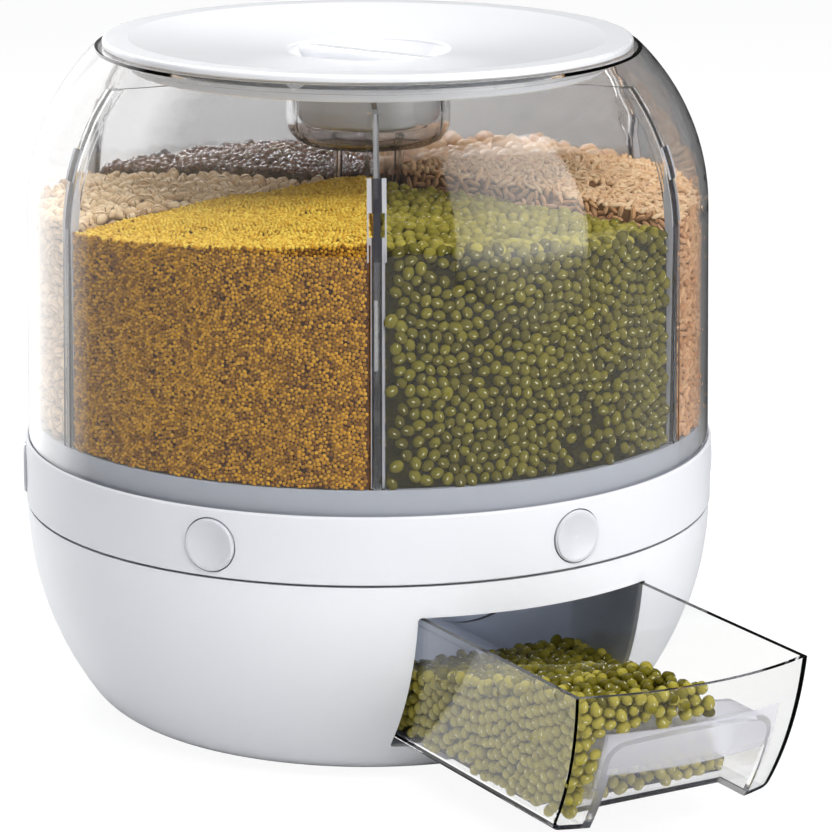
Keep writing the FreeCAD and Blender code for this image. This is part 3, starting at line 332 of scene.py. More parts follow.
def seed(name, dark, mid, light, roughness, spot=None, spot_size=None, crease=None, coat=0.0, shine=0.3):
    """Grain: each seed has its own tint, which with its layer's range also paints light and shade, a
    mottled skin and, where it has one, its eye or crease.
    """
    n = Nodes(name)
    # The tint attribute holds each seed's tone, random within its layer's range; the ranges paint light and
    # shade.
    tint = n.add("Attribute", attribute_name="tint").outputs["Fac"]
    local = n.add("Attribute", attribute_name="local").outputs["Vector"]
    axes = n.add("SeparateXYZ", {0: local}).outputs
    shift = n.add("CombineXYZ", {0: n.math("MULTIPLY", tint, 37.0)}).outputs[0]
    mottle = n.noise(2.2, 2.0, n.add("VectorMath", {0: local, 1: shift}, operation="ADD").outputs[0])
    skin = n.blend(n.ramp(tint, 0.0, 1.0, (0.0, 0.5)), rgb(*dark), rgb(*mid))
    skin = n.blend(n.ramp(tint, 0.0, 1.0, (0.5, 1.0)), skin, rgb(*light))
    skin = n.blend(n.ramp(mottle, 0.0, 0.35, (0.4, 0.8)), skin, rgb(*dark))
    if crease is not None:
        away = n.math("MULTIPLY", n.math("ABSOLUTE", axes[1]), 1.0 / 0.16)
        line = n.math("SUBTRACT", 1.0, away, clamp=True)
        line = n.math("MULTIPLY", line, n.math("GREATER_THAN", axes[2], 0.0))
        skin = n.blend(line, skin, rgb(*crease))
    if spot is not None:
        along = n.math("LESS_THAN", n.math("ABSOLUTE", axes[0]), spot_size[0])
        across = n.math("LESS_THAN", n.math("ABSOLUTE", axes[1]), spot_size[1])
        front = n.math("GREATER_THAN", axes[2], spot_size[2])
        here = n.math("MULTIPLY", n.math("MULTIPLY", along, across), front)
        skin = n.blend(here, skin, rgb(*spot))
    shader = n.add("BsdfPrincipled", {
        "Base Color": skin,
        "Roughness": n.ramp(mottle, roughness * 0.8, roughness * 1.2, (0.3, 0.7)),
        "Specular IOR Level": shine, "Coat Weight": coat, "Coat Roughness": 0.12,
    })
    return n.finish(shader.outputs[0])


def heap_body(name, colour):
    """The inside of a heap, seen in the gaps between seeds, coloured dark as painted shade."""
    n = Nodes(name)
    where = place_vector(n)
    patch = n.noise(320.0, 3.0, where)
    share = n.ramp(patch, 0.0, 1.0, (0.35, 0.65))
    shader = n.add("BsdfPrincipled", {
        "Base Color": n.blend(share, rgb(*[c * 0.4 for c in colour]), rgb(*colour)),
        "Roughness": n.ramp(patch, 0.7, 0.95), "Specular IOR Level": 0.05,
        "Normal": n.bump(patch, 0.8, 0.0006),
    })
    return n.finish(shader.outputs[0])


# Meshes

def mesh_object(name, points, triangles, material, body, attributes=None):
    """A mesh object in metres from points in millimetres, riding on a body."""
    mesh = bpy.data.meshes.new(name)
    mesh.vertices.add(len(points))
    mesh.vertices.foreach_set("co", np.asarray(points, dtype=np.float32).ravel() * MM)
    mesh.loops.add(len(triangles) * 3)
    mesh.loops.foreach_set("vertex_index", np.asarray(triangles, dtype=np.int32).ravel())
    mesh.polygons.add(len(triangles))
    mesh.polygons.foreach_set("loop_start", np.arange(0, len(triangles) * 3, 3, dtype=np.int32))
    mesh.update(calc_edges=True)
    mesh.shade_smooth()
    for key, (kind, values) in (attributes or {}).items():
        layer = mesh.attributes.new(key, kind, "POINT")
        field = "value" if kind == "FLOAT" else "vector"
        layer.data.foreach_set(field, np.asarray(values, dtype=np.float32).ravel())
    mesh.materials.append(material)
    thing = bpy.data.objects.new(name, mesh)
    scene.collection.objects.link(thing)
    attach(thing, body)
    return thing


def ball_shape(around, up):
    """A unit ball as points and triangles, with its poles on the X axis."""
    points, triangles = [(-1.0, 0.0, 0.0)], []
    for row in range(1, up):
        a = math.pi * row / up
        for column in range(around):
            b = 2 * math.pi * column / around
            points.append((-math.cos(a), math.sin(a) * math.cos(b), math.sin(a) * math.sin(b)))
    points.append((1.0, 0.0, 0.0))
    last = len(points) - 1
    for column in range(around):
        after = (column + 1) % around
        triangles.append((0, 1 + after, 1 + column))
        for row in range(up - 2):
            a, b = 1 + row * around, 1 + (row + 1) * around
            triangles.append((a + column, a + after, b + after))
            triangles.append((a + column, b + after, b + column))
        end = 1 + (up - 2) * around
        triangles.append((end + column, end + after, last))
    return np.array(points), np.array(triangles)


def even_points(count, number, rounds=45):
    """Points spread evenly but irregularly over a unit square that repeats on all sides."""
    rng = np.random.default_rng(number)
    spots = rng.random((count, 2))
    wanted = 1.04 / math.sqrt(count)
    for _ in range(rounds):
        apart = spots[:, None] - spots[None]
        apart -= np.round(apart)
        far = np.sqrt((apart ** 2).sum(-1)) + 1e-9
        np.fill_diagonal(far, 9.0)
        push = np.clip(wanted - far, 0.0, None) / far
        spots = (spots + 0.45 * (apart * push[..., None]).sum(1)) % 1.0
    return spots


def spread(width, height, area, number, count=420):
    """Irregular points over a rectangle, one for each piece of the given area."""
    tile = even_points(count, number)
    side = math.sqrt(count * area)
    across, up = math.ceil(width / side), math.ceil(height / side)
    spots = np.concatenate([(tile + (i, j)) * side for i in range(across) for j in range(up)])
    return spots[(spots[:, 0] < width) & (spots[:, 1] < height)]


def lay(points, normals, shape, size, rng, tip=0.25, tones=(0.0, 1.0)):
    """Put one seed at each point, lying roughly flat to its normal, as points, faces, tones and places; the
    range of tones paints light and shade.
    """
    unit, faces = shape
    count = len(points)
    normals = normals + rng.normal(0.0, tip, (count, 3))
    normals /= np.linalg.norm(normals, axis=1, keepdims=True)
    spare = rng.normal(0.0, 1.0, (count, 3))
    long = np.cross(normals, spare)
    long /= np.linalg.norm(long, axis=1, keepdims=True)
    wide = np.cross(normals, long)
    grow = rng.normal(1.0, SIZE_SPREAD, (count, 1, 1)).clip(0.8, 1.2)
    body = unit[None] * np.array(size)[None, None] * grow
    placed = (points[:, None] + body[..., :1] * long[:, None] + body[..., 1:2] * wide[:, None]
              + body[..., 2:3] * normals[:, None])
    # Tones are random within the range, and the range paints light and shade by layer.
    tints_and_shade = np.repeat(rng.uniform(*tones, count), len(unit))
    local = np.broadcast_to(unit[None], placed.shape)
    index = faces[None] + (np.arange(count) * len(unit))[:, None, None]
    return placed.reshape(-1, 3), index.reshape(-1, 3), tints_and_shade, local.reshape(-1, 3)


def joined(batches):
    """Several batches of seeds as one."""
    points, faces, tints_and_shade, local, start = [], [], [], [], 0
    for p, f, t, l in batches:
        points.append(p)
        faces.append(f + start)
        tints_and_shade.append(t)
        local.append(l)
        start += len(p)
    return tuple(np.concatenate(part) for part in (points, faces, tints_and_shade, local))


def seed_object(name, batches, material, body):
    """One mesh of many seeds, each with its tint, which carries painted light and shade, and the places on
    its own skin.
    """
    points, faces, tints_and_shade, local = joined(batches)
    attributes = {"tint": ("FLOAT", tints_and_shade), "local": ("FLOAT_VECTOR", local)}
    mesh_object(name, points, faces, material, body, attributes)


def heap_core(name, top, foot, material, body):
    """The closed body of a heap, between a grid of points on its top and one on its foot."""
    rows, columns = top.shape[:2]
    under = rows * columns
    faces = []

    def quad(a, b, c, e):
        faces.extend([(a, b, c), (a, c, e)])

    for i in range(rows - 1):
        for j in range(columns - 1):
            a = i * columns + j
            quad(a, a + columns, a + columns + 1, a + 1)
            b = under + a
            quad(b, b + 1, b + columns + 1, b + columns)
    rim = [(0, j) for j in range(columns)]
    rim += [(i, columns - 1) for i in range(1, rows)]
    rim += [(rows - 1, j) for j in range(columns - 2, -1, -1)]
    rim += [(i, 0) for i in range(rows - 2, 0, -1)]
    for index, (i, j) in enumerate(rim):
        k, m = rim[(index + 1) % len(rim)]
        a, b = i * columns + j, k * columns + m
        quad(a, b, under + b, under + a)
    points = np.concatenate([top.reshape(-1, 3), foot.reshape(-1, 3)])
    thing = mesh_object(name, points, faces, material, body)
    for face in thing.data.polygons:
        face.use_smooth = False


def wall_radius(z):
    """The clear wall's inner radius at a height."""
    z = np.asarray(z, dtype=float)
    side = WALL_SIDE + (WALL_FOOT - WALL_SIDE) * (SHOULDER - z) / (SHOULDER - WALL_START)
    middle = WALL_SIDE - SHOULDER_ARC
    rise = np.clip(z - SHOULDER, 0.0, SHOULDER_ARC)
    return np.where(z < SHOULDER, side, middle + np.sqrt(SHOULDER_ARC ** 2 - rise ** 2))


# Grain in the tank

class Fill:
    """One kind of grain: how its heap is shaped and what a seed is like."""

    def __init__(self, name, section, size, wall, hub, tilt, material, core, shape):
        self.name = name
        self.size = size
        self.wall = wall
        self.hub = hub
        self.tilt = tilt
        self.material = material
        self.core = core
        self.shape = shape
        self.middle = DIVIDERS_AT - HALF_SECTION + 2 * HALF_SECTION * section

    def height(self, radius, angle):
        """The heap's top at a radius and an angle from the section's middle, in degrees."""
        share = (radius - HUB_RADIUS) / (TANK_REACH - HUB_RADIUS)
        level = self.hub + (self.wall - self.hub) * share ** 2
        return level + self.tilt * angle / HALF_SECTION * (0.35 + 0.65 * share)

    def xyz(self, radius, angle, z):
        """Points from radii, angles from the section's middle and heights."""
        turn = np.radians(self.middle + angle)
        return np.stack([radius * np.sin(turn), -radius * np.cos(turn), z + 0.0 * radius], axis=-1)

    def edge_angle(self, radius, clearance):
        """The half angle left between dividers, at a radius."""
        return HALF_SECTION - np.degrees(np.arcsin(np.clip(clearance / radius, 0.0, 0.9)))

    def seed_area(self):
        return math.pi * self.size[0] * self.size[1] / TANK_PACKING

    def make_core(self):
        """The body of the heap under its outermost seeds."""
        inset = self.size[2] * 0.9 + 0.5
        share, side = np.meshgrid(np.linspace(0.0, 1.0, 22), np.linspace(-1.0, 1.0, 18), indexing="ij")

        def grid(wall):
            radius = HUB_RADIUS + inset + share * (wall - HUB_RADIUS - 2 * inset)
            return radius, side * self.edge_angle(radius, CORE_DIVIDER_GAP + inset)

        radius, angle = grid(wall_radius(self.wall))
        top = self.xyz(radius, angle, self.height(radius, angle) - inset)
        radius, angle = grid(wall_radius(FLOOR_TOP))
        foot = self.xyz(radius, angle, FLOOR_TOP + CORE_LIFT)
        heap_core(f"{self.name}_core", top, foot, self.core, "turntable")

    def wall_layer(self, rng, depth, number):
        """Seeds against the clear outer wall, or at a depth behind those."""
        wide, high = self.size[1:]
        top = self.wall + abs(self.tilt) + 12.0
        around = math.radians(2 * HALF_SECTION) * TANK_REACH
        spots = spread(around, top - FLOOR_TOP, self.seed_area(), number)
        z = FLOOR_TOP + high * 0.8 + spots[:, 1]
        angle = np.degrees(spots[:, 0] / TANK_REACH) - HALF_SECTION
        uneven = np.abs(rng.normal(0.0, 0.12 * high, len(z)))
        radius = wall_radius(z) - SEED_WALL_GAP - high - depth - uneven
        near_rib = np.abs(angle) > self.edge_angle(np.array(TANK_REACH), RIB_GAP + wide * 0.8)
        radius = np.where(near_rib, radius - RIB_STEP, radius)
        keep = np.abs(angle) < self.edge_angle(radius, EDGE_DIVIDER_GAP + wide * 0.9)
        keep &= z < self.height(radius, angle) - high * 0.3
        angle, radius, z = angle[keep], radius[keep], z[keep]
        points = self.xyz(radius, angle, z)
        turn = np.radians(self.middle + angle)
        normals = np.stack([np.sin(turn), -np.cos(turn), 0.0 * turn], axis=-1)
        return points, normals

    def top_layer(self, rng, number):
        """Seeds on the heap's top."""
        wide, high = self.size[1:]
        spots = spread(TANK_REACH, TANK_REACH, self.seed_area(), number)
        x, y = spots[:, 0] - TANK_REACH / 2, spots[:, 1]
        radius = np.hypot(x, y)
        angle = np.degrees(np.arctan2(x, y))
        z = self.height(radius, angle) - high + rng.normal(0.0, 0.28 * high, len(x))
        away = np.maximum(radius, 5.0)
        keep = radius < wall_radius(z) - 0.4 - wide
        keep &= radius > HUB_RADIUS + 0.4 + wide
        keep &= np.abs(angle) < self.edge_angle(away, EDGE_DIVIDER_GAP + wide * 0.9)
        near_rib = np.abs(angle) > self.edge_angle(away, RIB_GAP + wide)
        keep &= ~(near_rib & (radius > TOP_RIB_RADIUS - wide))
        radius, angle, z = radius[keep], angle[keep], z[keep]
        points = self.xyz(radius, angle, z)
        normals = np.tile([0.0, 0.0, 1.0], (len(z), 1))
        return points, normals

    def side_layers(self, number):
        """Seeds against the two dividers, near the top of the heap."""
        wide, high = self.size[1:]
        batches = []
        for side in (-1.0, 1.0):
            spots = spread(SIDE_REACH, SIDE_DEPTH, self.seed_area(), number)
            radius = HUB_RADIUS + wide + spots[:, 0]
            angle = side * self.edge_angle(radius, SIDE_DIVIDER_GAP + high)
            z = self.height(radius, angle) - high - spots[:, 1]
            keep = radius < wall_radius(z) - SIDE_RIB_STEP - wide
            radius, angle, z = radius[keep], angle[keep], z[keep]
            points = self.xyz(radius, angle, z)
            turn = np.radians(self.middle + side * HALF_SECTION)
            normal = side * np.array([math.cos(turn), math.sin(turn), 0.0])
            batches.append((points, np.tile(normal, (len(z), 1))))
        return batches

    def make_piece(self, name, batches):
        seed_object(name, batches, self.material, "turntable")

    def make(self, number):
        """The seeds in layers. Coarse grain has two at the wall, and fine grain a mesh for each layer."""
        rng = np.random.default_rng(number)
        fine = self.size[1] < 1.0
        coarse = self.size[1] > 2.0
        # Seeds at the walls and behind them take dark tones as painted shade, seeds on the top light tones
        # as painted light.
        outer = self.wall_layer(rng, 0.0, number)
        wall = [lay(*outer, self.shape, self.size, rng, tones=WALL_SHADED_TONES)]
        if coarse:
            behind = self.wall_layer(rng, 1.1 * self.size[2], number + 5)
            wall.append(lay(*behind, self.shape, self.size, rng, tones=BEHIND_SHADED_TONES))
        heap = self.top_layer(rng, number + 1)
        top = lay(*heap, self.shape, self.size, rng, tip=0.45, tones=TOP_LIT_TONES)
        sides = [lay(points, normals, self.shape, self.size, rng, tones=WALL_SHADED_TONES)
                 for points, normals in self.side_layers(number + 2)]
        if fine:
            self.make_piece(f"{self.name}_wall", wall)
            self.make_piece(f"{self.name}_top", [top])
            self.make_piece(f"{self.name}_sides", sides)
        else:
            self.make_piece(self.name, [*wall, top, *sides])
        self.make_core()


def make_grain():
    smooth = ball_shape(8, 6)
    slim = ball_shape(7, 5)
    plain = ball_shape(6, 4)
    round_ball = ball_shape(12, 8)
    mung = seed("mung_skin", (0.078, 0.066, 0.005), (0.175, 0.152, 0.012), (0.39, 0.335, 0.050), 0.22,
                spot=(0.62, 0.60, 0.42), spot_size=(0.22, 0.08, 0.93), shine=0.16)
    millet = seed("millet_skin", (0.20, 0.075, 0.003), (0.66, 0.34, 0.02), (0.98, 0.73, 0.12), 0.35,
                  spot=(0.22, 0.09, 0.01), spot_size=(0.25, 0.25, 0.88), shine=0.05)
    wheat = seed("wheat_skin", (0.58, 0.29, 0.13), (0.84, 0.52, 0.28), (0.95, 0.72, 0.46), 0.40,
                 crease=(0.36, 0.16, 0.07), shine=0.08)
    chickpea = seed("chickpea_skin", (0.70, 0.42, 0.24), (0.86, 0.60, 0.40), (0.93, 0.72, 0.54), 0.36)
    bean = seed("bean_skin", (0.030, 0.006, 0.009), (0.075, 0.016, 0.020), (0.15, 0.040, 0.042), 0.16,
                coat=1.0)
    barley = seed("barley_skin", (0.46, 0.30, 0.16), (0.80, 0.57, 0.34), (0.98, 0.79, 0.53), 0.45,
                  crease=(0.12, 0.05, 0.02), shine=0.08)
    # The heap bodies' dark colours are painted shade in the gaps between seeds.
    cores = {
        "mung": heap_body("mung_core", (0.034, 0.028, 0.004)),
        "millet": heap_body("millet_core", (0.11, 0.036, 0.003)),
        "wheat": heap_body("wheat_core", (0.30, 0.14, 0.06)),
        "chickpea": heap_body("chickpea_core", (0.30, 0.15, 0.08)),
        "bean": heap_body("bean_core", (0.012, 0.003, 0.003)),
        "barley": heap_body("barley_core", (0.16, 0.09, 0.05)),
    }
    sizes = {
        "mung": (2.95, 2.5, 2.4), "millet": (0.94, 0.90, 0.88), "wheat": (2.9, 1.15, 1.1),
        "chickpea": (4.9, 4.5, 4.4), "bean": (2.6, 1.9, 1.8), "barley": (3.3, 2.5, 2.1),
    }
    fills = [
        Fill("grain_mung", 0, sizes["mung"], 234.5, 240.0, -3.5, mung, cores["mung"], smooth),
        Fill("grain_wheat", 1, sizes["wheat"], 235.0, 246.0, 1.0, wheat, cores["wheat"], slim),
        Fill("grain_chickpea", 2, sizes["chickpea"], 236.5, 243.0, 0.0, chickpea, cores["chickpea"],
             round_ball),
        Fill("grain_bean", 3, sizes["bean"], 233.0, 240.0, -1.0, bean, cores["bean"], smooth),
        Fill("grain_barley", 4, sizes["barley"], 232.0, 238.0, 1.5, barley, cores["barley"], smooth),
        Fill("grain_millet", 5, sizes["millet"], 235.0, 243.0, 4.5, millet, cores["millet"], plain),
    ]
    for index, fill in enumerate(fills):
        fill.make(100 + 10 * index)
    DrawerHeap(sizes["mung"], mung, cores["mung"], smooth).make(200)


# Grain in the drawer

class DrawerHeap:
    """Mung beans in the pulled drawer: level at the back, up to the brim at the left front corner."""

    back_level = 45.0
    rise = 36.0
    length = 150.0
    steepening = 1.6

    def __init__(self, size, material, core, shape):
        self.size = size
        self.material = material
        self.core = core
        self.shape = shape

    def height(self, x, y):
        """The heap's top at a place in the drawer."""
        share = ((DRAWER_BACK - y) / self.length).clip(0.0, 1.2)
        left = self.back_level + self.rise * share
        start = -DRAWER_HALF + 0.9 * DRAWER_HALF * share.clip(0.0, 1.0)
        fall = (left - self.back_level + 1.0) / (DRAWER_HALF - 2.0 - start).clip(1.0, None)
        fall = fall + (share - 0.62).clip(0.0, 1.0) * self.steepening
        return (left - fall * (x - start).clip(0.0, None)).clip(DRAWER_FLOOR, DRAWER_TOP - 1.5)

    def half_width(self, z):
        return DRAWER_HALF + DRAWER_FLARE * (z - DRAWER_FLOOR)

    def front(self, x, z):
        """The front wall's inner face, which follows the bowl's curve."""
        bend_height = BOWL_TOP - (BOWL_TOP - BOWL_LOW) * BOWL_ARC / (BOWL_ARC - BOWL_CORNER)
        reach = BOWL_ARC - BOWL_CORNER
        corner = BOWL_CENTRE + math.sqrt(reach ** 2 - (BOWL_TOP - BOWL_LOW) ** 2)
        upper = BOWL_CENTRE + np.sqrt((BOWL_ARC - FRONT_WALL) ** 2 - (BOWL_TOP - z) ** 2)
        lower = corner + np.sqrt(((BOWL_CORNER - FRONT_WALL) ** 2 - (BOWL_LOW - z) ** 2).clip(0.0, None))
        radius = np.where(z > bend_height, upper, lower)
        return -PULL - np.sqrt(radius ** 2 - x ** 2)

    def housing(self, z):
        """The back of the finger pocket's housing."""
        return HOUSING_BACK - HOUSING_LEAN * (z - DRAWER_FLOOR)

    def inside(self, x, y, z, gap):
        """Whether a seed's centre is in the drawer and clear of the finger pocket."""
        room = (np.abs(x) < self.half_width(z) - gap) & (y < DRAWER_BACK - gap)
        room &= (y > self.front(x, z) + gap) & (z > DRAWER_FLOOR + gap)
        pocket = (np.abs(x) < HOUSING_HALF + gap) & (z < HOUSING_ROOF + gap) & (y < self.housing(z) + gap)
        return room & ~pocket

    def layer(self, x, y, z, normal, rng, gap, tip=0.25, tones=DRAWER_LIT_TONES):
        """Seeds at the places of one layer that lie in the heap."""
        keep = self.inside(x, y, z, gap) & (z < self.height(x, y) - 0.3 * self.size[2])
        points = np.stack([x, y, z], axis=-1)[keep]
        normals = np.tile(normal, (len(points), 1))
        return lay(points, normals, self.shape, self.size, rng, tip=tip, tones=tones)

    def make_core(self):
        """The body of the heap under its outermost seeds."""
        inset = 2.0 * self.size[2]
        wide = np.linspace(-DRAWER_HALF + inset, DRAWER_HALF - inset, 16)
        long = np.linspace(DRAWER_BACK - inset, HOUSING_BACK + inset, 20)
        x, y = np.meshgrid(wide, long)
        level = (self.height(x, y) - inset).clip(DRAWER_FLOOR + 1.0, None)
        top = np.stack([x, y, level], axis=-1)
        foot = np.stack([x, y, np.full_like(x, DRAWER_FLOOR + CORE_LIFT)], axis=-1)
        heap_core("grain_drawer_core", top, foot, self.core, "drawer")

    def make(self, number):
        """The seeds on the heap's top, at the sides, at the front and around the finger pocket."""
        rng = np.random.default_rng(number)
        wide, high = self.size[1:]
        area = math.pi * self.size[0] * wide / DRAWER_PACKING
        across = 2 * (DRAWER_HALF + DRAWER_SPARE)
        along = DRAWER_LENGTH - DRAWER_BACK
        batches = []
        # Seeds on the drawer heap's top take dark tones as painted shade.
        for depth in (0.0, 1.6 * high):
            spots = spread(across, along, area, number + int(depth))
            x, y = spots[:, 0] - DRAWER_HALF - DRAWER_SPARE, DRAWER_BACK - spots[:, 1]
            z = self.height(x, y) - high - depth + rng.normal(0.0, 0.25 * high, len(x))
            up = (0.0, 0.0, 1.0)
            batches.append(self.layer(x, y, z, up, rng, 0.85 * wide, 0.5, DRAWER_TOP_SHADED_TONES))
        # Seeds at the drawer's sides, front and pocket keep the default light tones, as painted light.
        for side in (-1.0, 1.0):
            spots = spread(along, DRAWER_WALL_DEPTH, area, number + 3)
            y, z = DRAWER_BACK - spots[:, 0], DRAWER_FLOOR + 0.9 * high + spots[:, 1]
            x = side * (self.half_width(z) - 0.3 - high)
            batches.append(self.layer(x, y, z, (side, 0.0, 0.0), rng, 0.85 * high))
        for depth in (0.0, 1.8 * high):
            spots = spread(across, DRAWER_WALL_DEPTH, area, number + 4 + int(depth))
            x = spots[:, 0] - DRAWER_HALF - DRAWER_SPARE
            z = DRAWER_FLOOR + 0.9 * high + spots[:, 1]
            for face in (self.front(x, z), self.housing(z)):
                y = face + SEED_WALL_GAP + high + depth
                batches.append(self.layer(x, y, z, (0.0, -1.0, 0.0), rng, 0.85 * high))
        seed_object("grain_drawer", batches, self.material, "drawer")
        self.make_core()


# Finishes of the CAD nodes

def dress_nodes():
    white = (0.86, 0.87, 0.90)
    body = moulded("bowl_white", white, 0.42)
    ring = moulded("ring_white", (0.80, 0.81, 0.845), 0.45, 0.15)
    lid = moulded("lid_white", (0.88, 0.89, 0.915), 0.22, 0.1, 0.3)
    # The buttons are coloured darker than the ring: painted shade in their dishes.
    button = moulded("button_painted_shade", (0.70, 0.71, 0.75), 0.30, 0.1, 0.1)
    # The bay's white plastic is coloured a blue-grey: painted shade inside the bay.
    bay = moulded("bay_painted_shade", (0.50, 0.53, 0.60), 0.38)
    deck = moulded("deck_white", (0.72, 0.74, 0.78), 0.5)
    # The hopper floor's white plastic is coloured a grey lavender: painted shade under the tank, seen
    # through the clear wall.
    floor = moulded("hopper_floor_painted_shade", (0.66, 0.69, 0.76), 0.35)
    gate = moulded("gate_white", (0.80, 0.81, 0.83), 0.35)
    cage = moulded("cage_white", (0.70, 0.70, 0.70), 0.45)
    # The tank and the dividers carry painted light and shade at the rib edges.
    tank = clear("tank_clear", (0.945, 0.945, 0.945), shades=rib_painted_light_and_shade)
    divider = clear("divider_clear", (0.94, 0.94, 0.945), shades=rib_painted_light_and_shade)
    drawer = clear("drawer_clear", (0.965, 0.965, 0.965), ior=1.38, shades=pocket_shades)
    steel = metal("screw_steel_finish", (0.62, 0.61, 0.60), 0.3)
    turned = metal("spindle_steel_finish", (0.60, 0.60, 0.61), 0.25)
    polished = metal("ball_steel_finish", (0.72, 0.72, 0.74), 0.08, (1.0, 1.0, 1.0))
    wire = metal("spring_steel_finish", (0.52, 0.52, 0.53), 0.3, (20.0, 20.0, 20.0))
    pads = rubber("pad_rubber", (0.16, 0.165, 0.175))
    seal = rubber("seal_soft", (0.62, 0.64, 0.67))
    finishes = {
        "base_bowl": body, "button_ring": ring, "lid_cover": lid, "lid_liner": lid, "drawer_bay": bay,
        "base_deck": deck, "gate_tray": deck, "hopper_floor": floor, "bearing_cage": cage,
        "tank_shell": tank, "tank_partition": divider, "drawer_cup": drawer, "foot_pads": pads,
        "lid_seal": seal, "bay_screws": steel, "deck_screws": steel, "tray_screws": steel,
        "spindle": turned, "spindle_washer": steel, "spindle_nut": steel, "bearing_balls": polished,
    }
    for index in range(1, SECTIONS + 1):
        finishes[f"gate_slide_{index}"] = gate
        finishes[f"button_cap_{index}"] = button
        finishes[f"return_spring_{index}"] = wire
    for name, material in finishes.items():
        thing = nodes[name]
        for place in thing.material_slots:
            place.link = "OBJECT"
            place.material = material


# Floor, backdrop and lamps

def studio_side(n, where):
    """How far to the camera's left a place or a direction lies."""
    right = n.add("VectorMath", {0: where, 1: CAMERA_RIGHT}, operation="DOT_PRODUCT").outputs["Value"]
    return n.math("MULTIPLY", right, -1.0)


def grey(n, value):
    return n.add("CombineColor", {0: value, 1: value, 2: value}).outputs[0]


def make_floor():
    """Pale paper: white to the camera, and darker behind the object where the clear walls show it."""
    n = Nodes("floor_pale")
    where = place_vector(n)
    speck = n.noise(60.0, 2.0, where)
    paper = n.add("BsdfPrincipled", {
        "Base Color": n.blend(speck, rgb(0.80, 0.80, 0.81), rgb(0.83, 0.83, 0.84)), "Roughness": 0.8,
    })
    path = n.add("LightPath").outputs
    white = n.add("Emission", {"Color": rgb(1.0, 1.0, 1.0), "Strength": FLOOR_WHITE})
    camera = n.add("MixShader", {0: n.math("MULTIPLY", path["Is Camera Ray"], FLOOR_SHARE),
                                 1: paper.outputs[0], 2: white.outputs[0]})
    behind = n.add("VectorMath", {0: where, 1: CAMERA_AHEAD}, operation="DOT_PRODUCT").outputs["Value"]
    far = n.ramp(behind, 0.0, 1.0, (0.10, 0.55))
    left = studio_side(n, where)
    side = n.ramp(left, BEHIND_RIGHT, BEHIND_LEFT, (-0.20, 0.10))
    side = n.math("MAXIMUM", side, n.ramp(left, 0.0, 1.1, (0.13, 0.24)))
    shade = n.add("Mix", {0: far, 2: FLOOR_THROUGH, 3: side}, data_type="FLOAT").outputs[0]
    seen_through = n.add("Emission", {"Color": grey(n, shade)})
    mixed = n.add("MixShader", {0: path["Is Transmission Ray"], 1: camera.outputs[0],
                                2: seen_through.outputs[0]})
    mesh = bpy.data.meshes.new("floor")
    mesh.from_pydata([(-4, -4, 0), (4, -4, 0), (4, 4, 0), (-4, 4, 0)], [], [(0, 1, 2, 3)])
    mesh.materials.append(n.finish(mixed.outputs[0]))
    floor = bpy.data.objects.new("floor", mesh)
    floor.visible_glossy = False
    scene.collection.objects.link(floor)


class World(Nodes):
    """The node helpers, on the world's own tree."""

    def __init__(self, name):
        world = bpy.data.worlds.new(name)
        scene.world = world
        world.use_nodes = True
        self.tree = world.node_tree
        self.tree.nodes.clear()
        self.out = self.tree.nodes.new("ShaderNodeOutputWorld")
        self.material = world

    def background(self, colour, strength):
        return self.add("Background", {"Color": colour, "Strength": strength}).outputs[0]


def make_world():
    """White to the camera, soft light for the surfaces, and a bright left side for reflections."""
    n = World("studio")
    where = n.add("TexCoord").outputs["Generated"]
    path = n.add("LightPath").outputs
    light = n.background(rgb(0.95, 0.97, 1.0), WORLD_LIGHT)
    rear = n.add("VectorMath", {0: where, 1: REAR_LEFT}, operation="DOT_PRODUCT").outputs["Value"]
    mirror = n.background(grey(n, n.ramp(rear, MIRROR_DARK, MIRROR_LEFT, (0.80, 0.93))), 1.0)
    side = n.ramp(studio_side(n, where), BEHIND_RIGHT, 0.95, (0.30, 0.85))
    through = n.background(grey(n, side), 1.0)
    white = n.background(rgb(1.0, 1.0, 1.0), 1.0)
    shader = n.add("MixShader", {0: path["Is Glossy Ray"], 1: light, 2: mirror}).outputs[0]
    shader = n.add("MixShader", {0: path["Is Transmission Ray"], 1: shader, 2: through}).outputs[0]
    shader = n.add("MixShader", {0: path["Is Camera Ray"], 1: shader, 2: white}).outputs[0]
    n.finish(shader)


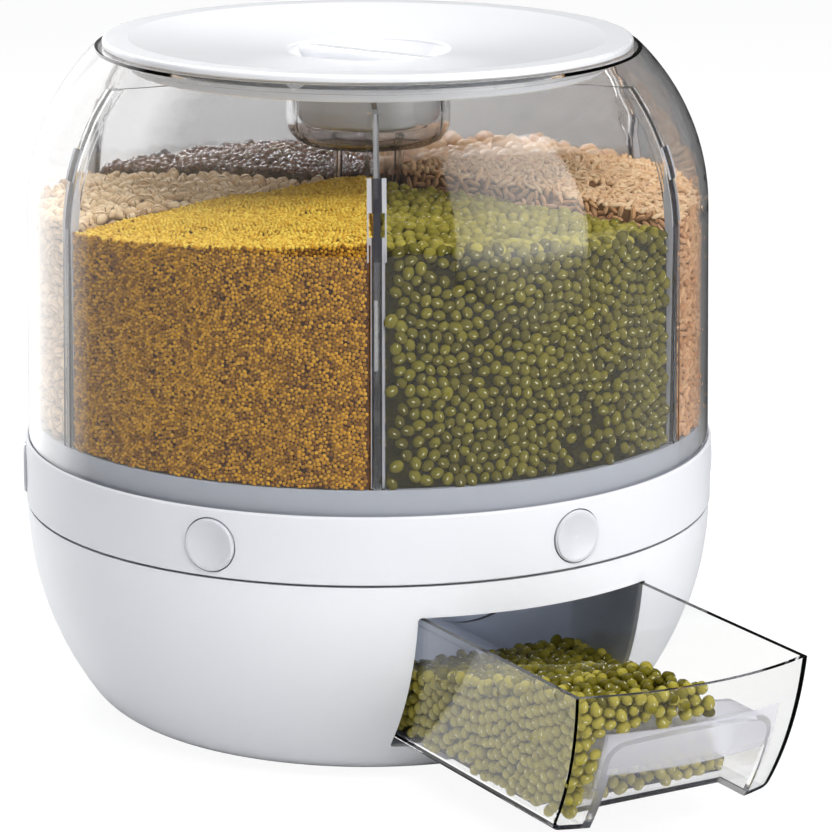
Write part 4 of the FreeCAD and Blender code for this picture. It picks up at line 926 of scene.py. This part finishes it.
def make_softbox():
    """A tall softbox at the front right, whose mirror image stands on the clear wall."""
    left, right = Vector(BOX_NEAR_LEFT), Vector(BOX_FAR_RIGHT)
    along = Vector((right.x - left.x, right.y - left.y, 0.0))
    width, height = along.length, right.z - left.z
    outline = [(0.0, 0.0), (width, 0.0)]
    for corner, start in ((width - BOX_CORNER, 0.0), (BOX_CORNER, 90.0)):
        for step in range(9):
            angle = math.radians(start + step * 90.0 / 8)
            outline.append((corner + BOX_CORNER * math.cos(angle),
                            height - BOX_CORNER + BOX_CORNER * math.sin(angle)))
    points = [left + along.normalized() * u + Vector((0.0, 0.0, v)) for u, v in outline]
    n = Nodes("softbox_light")
    where = n.add("TexCoord").outputs["Object"]
    away = n.add("VectorMath", {0: where, 1: tuple(along.normalized())}, operation="DOT_PRODUCT")
    start = left.dot(along.normalized())
    fade = n.ramp(away.outputs["Value"], 0.50, 1.0, (start, start + 0.45 * width))
    rise = n.ramp(n.add("SeparateXYZ", {0: where}).outputs[2], 0.05, 1.3, (-0.02, 0.10))
    glow = n.add("Emission", {"Color": grey(n, n.math("MULTIPLY", fade, rise)), "Strength": BOX_STRENGTH})
    mesh = bpy.data.meshes.new("softbox")
    mesh.from_pydata([tuple(p) for p in points], [], [tuple(range(len(points)))])
    mesh.materials.append(n.finish(glow.outputs[0]))
    card = bpy.data.objects.new("softbox", mesh)
    card.visible_camera = False
    scene.collection.objects.link(card)


def lamp(name, place, target, size, power, colour=(1.0, 1.0, 1.0), mirrored=True):
    light = bpy.data.lights.new(name, "AREA")
    light.shape = "RECTANGLE"
    light.size, light.size_y = size
    light.energy = power
    light.color = colour
    thing = bpy.data.objects.new(name, light)
    thing.location = place
    aim = Vector(target) - Vector(place)
    thing.rotation_euler = aim.to_track_quat("-Z", "Y").to_euler()
    thing.visible_camera = False
    thing.visible_glossy = mirrored
    thing.visible_transmission = mirrored
    scene.collection.objects.link(thing)
    return thing


def make_studio():
    make_floor()
    make_world()
    make_softbox()
    lamp("lamp_top", (0.05, 0.35, 1.9), (0.0, 0.0, 0.2), (1.3, 0.9), 12.5)
    lamp("lamp_high", (-0.33, -1.02, 1.55), (0.0, 0.0, 0.2), (0.9, 0.7), 19.0, mirrored=False)
    lamp("lamp_rear", (0.30, 1.30, 1.15), (0.0, 0.0, 0.24), (0.7, 0.5), 15.0)
    lamp("lamp_front", (0.65, -1.40, 0.75), (0.0, 0.0, 0.1), (0.5, 0.5), 6.5, mirrored=False)
    lamp("lamp_low", (0.40, -1.45, 0.13), (0.0, -0.1, 0.07), (0.5, 0.2), 3.0, mirrored=False)
    bay = lamp("lamp_bay", (0.02, -0.130, 0.076), (0.015, 0.0, 0.074), (0.05, 0.004), 0.045, mirrored=False)
    bay.data.spread = math.radians(60.0)


def main():
    scene.view_settings.view_transform = "Standard"
    make_camera()
    make_studio()
    dress_nodes()
    make_grain()
    scene.cycles.transparent_max_bounces = 32
    scene.cycles.max_bounces = 16
    scene.cycles.transmission_bounces = 16


main()
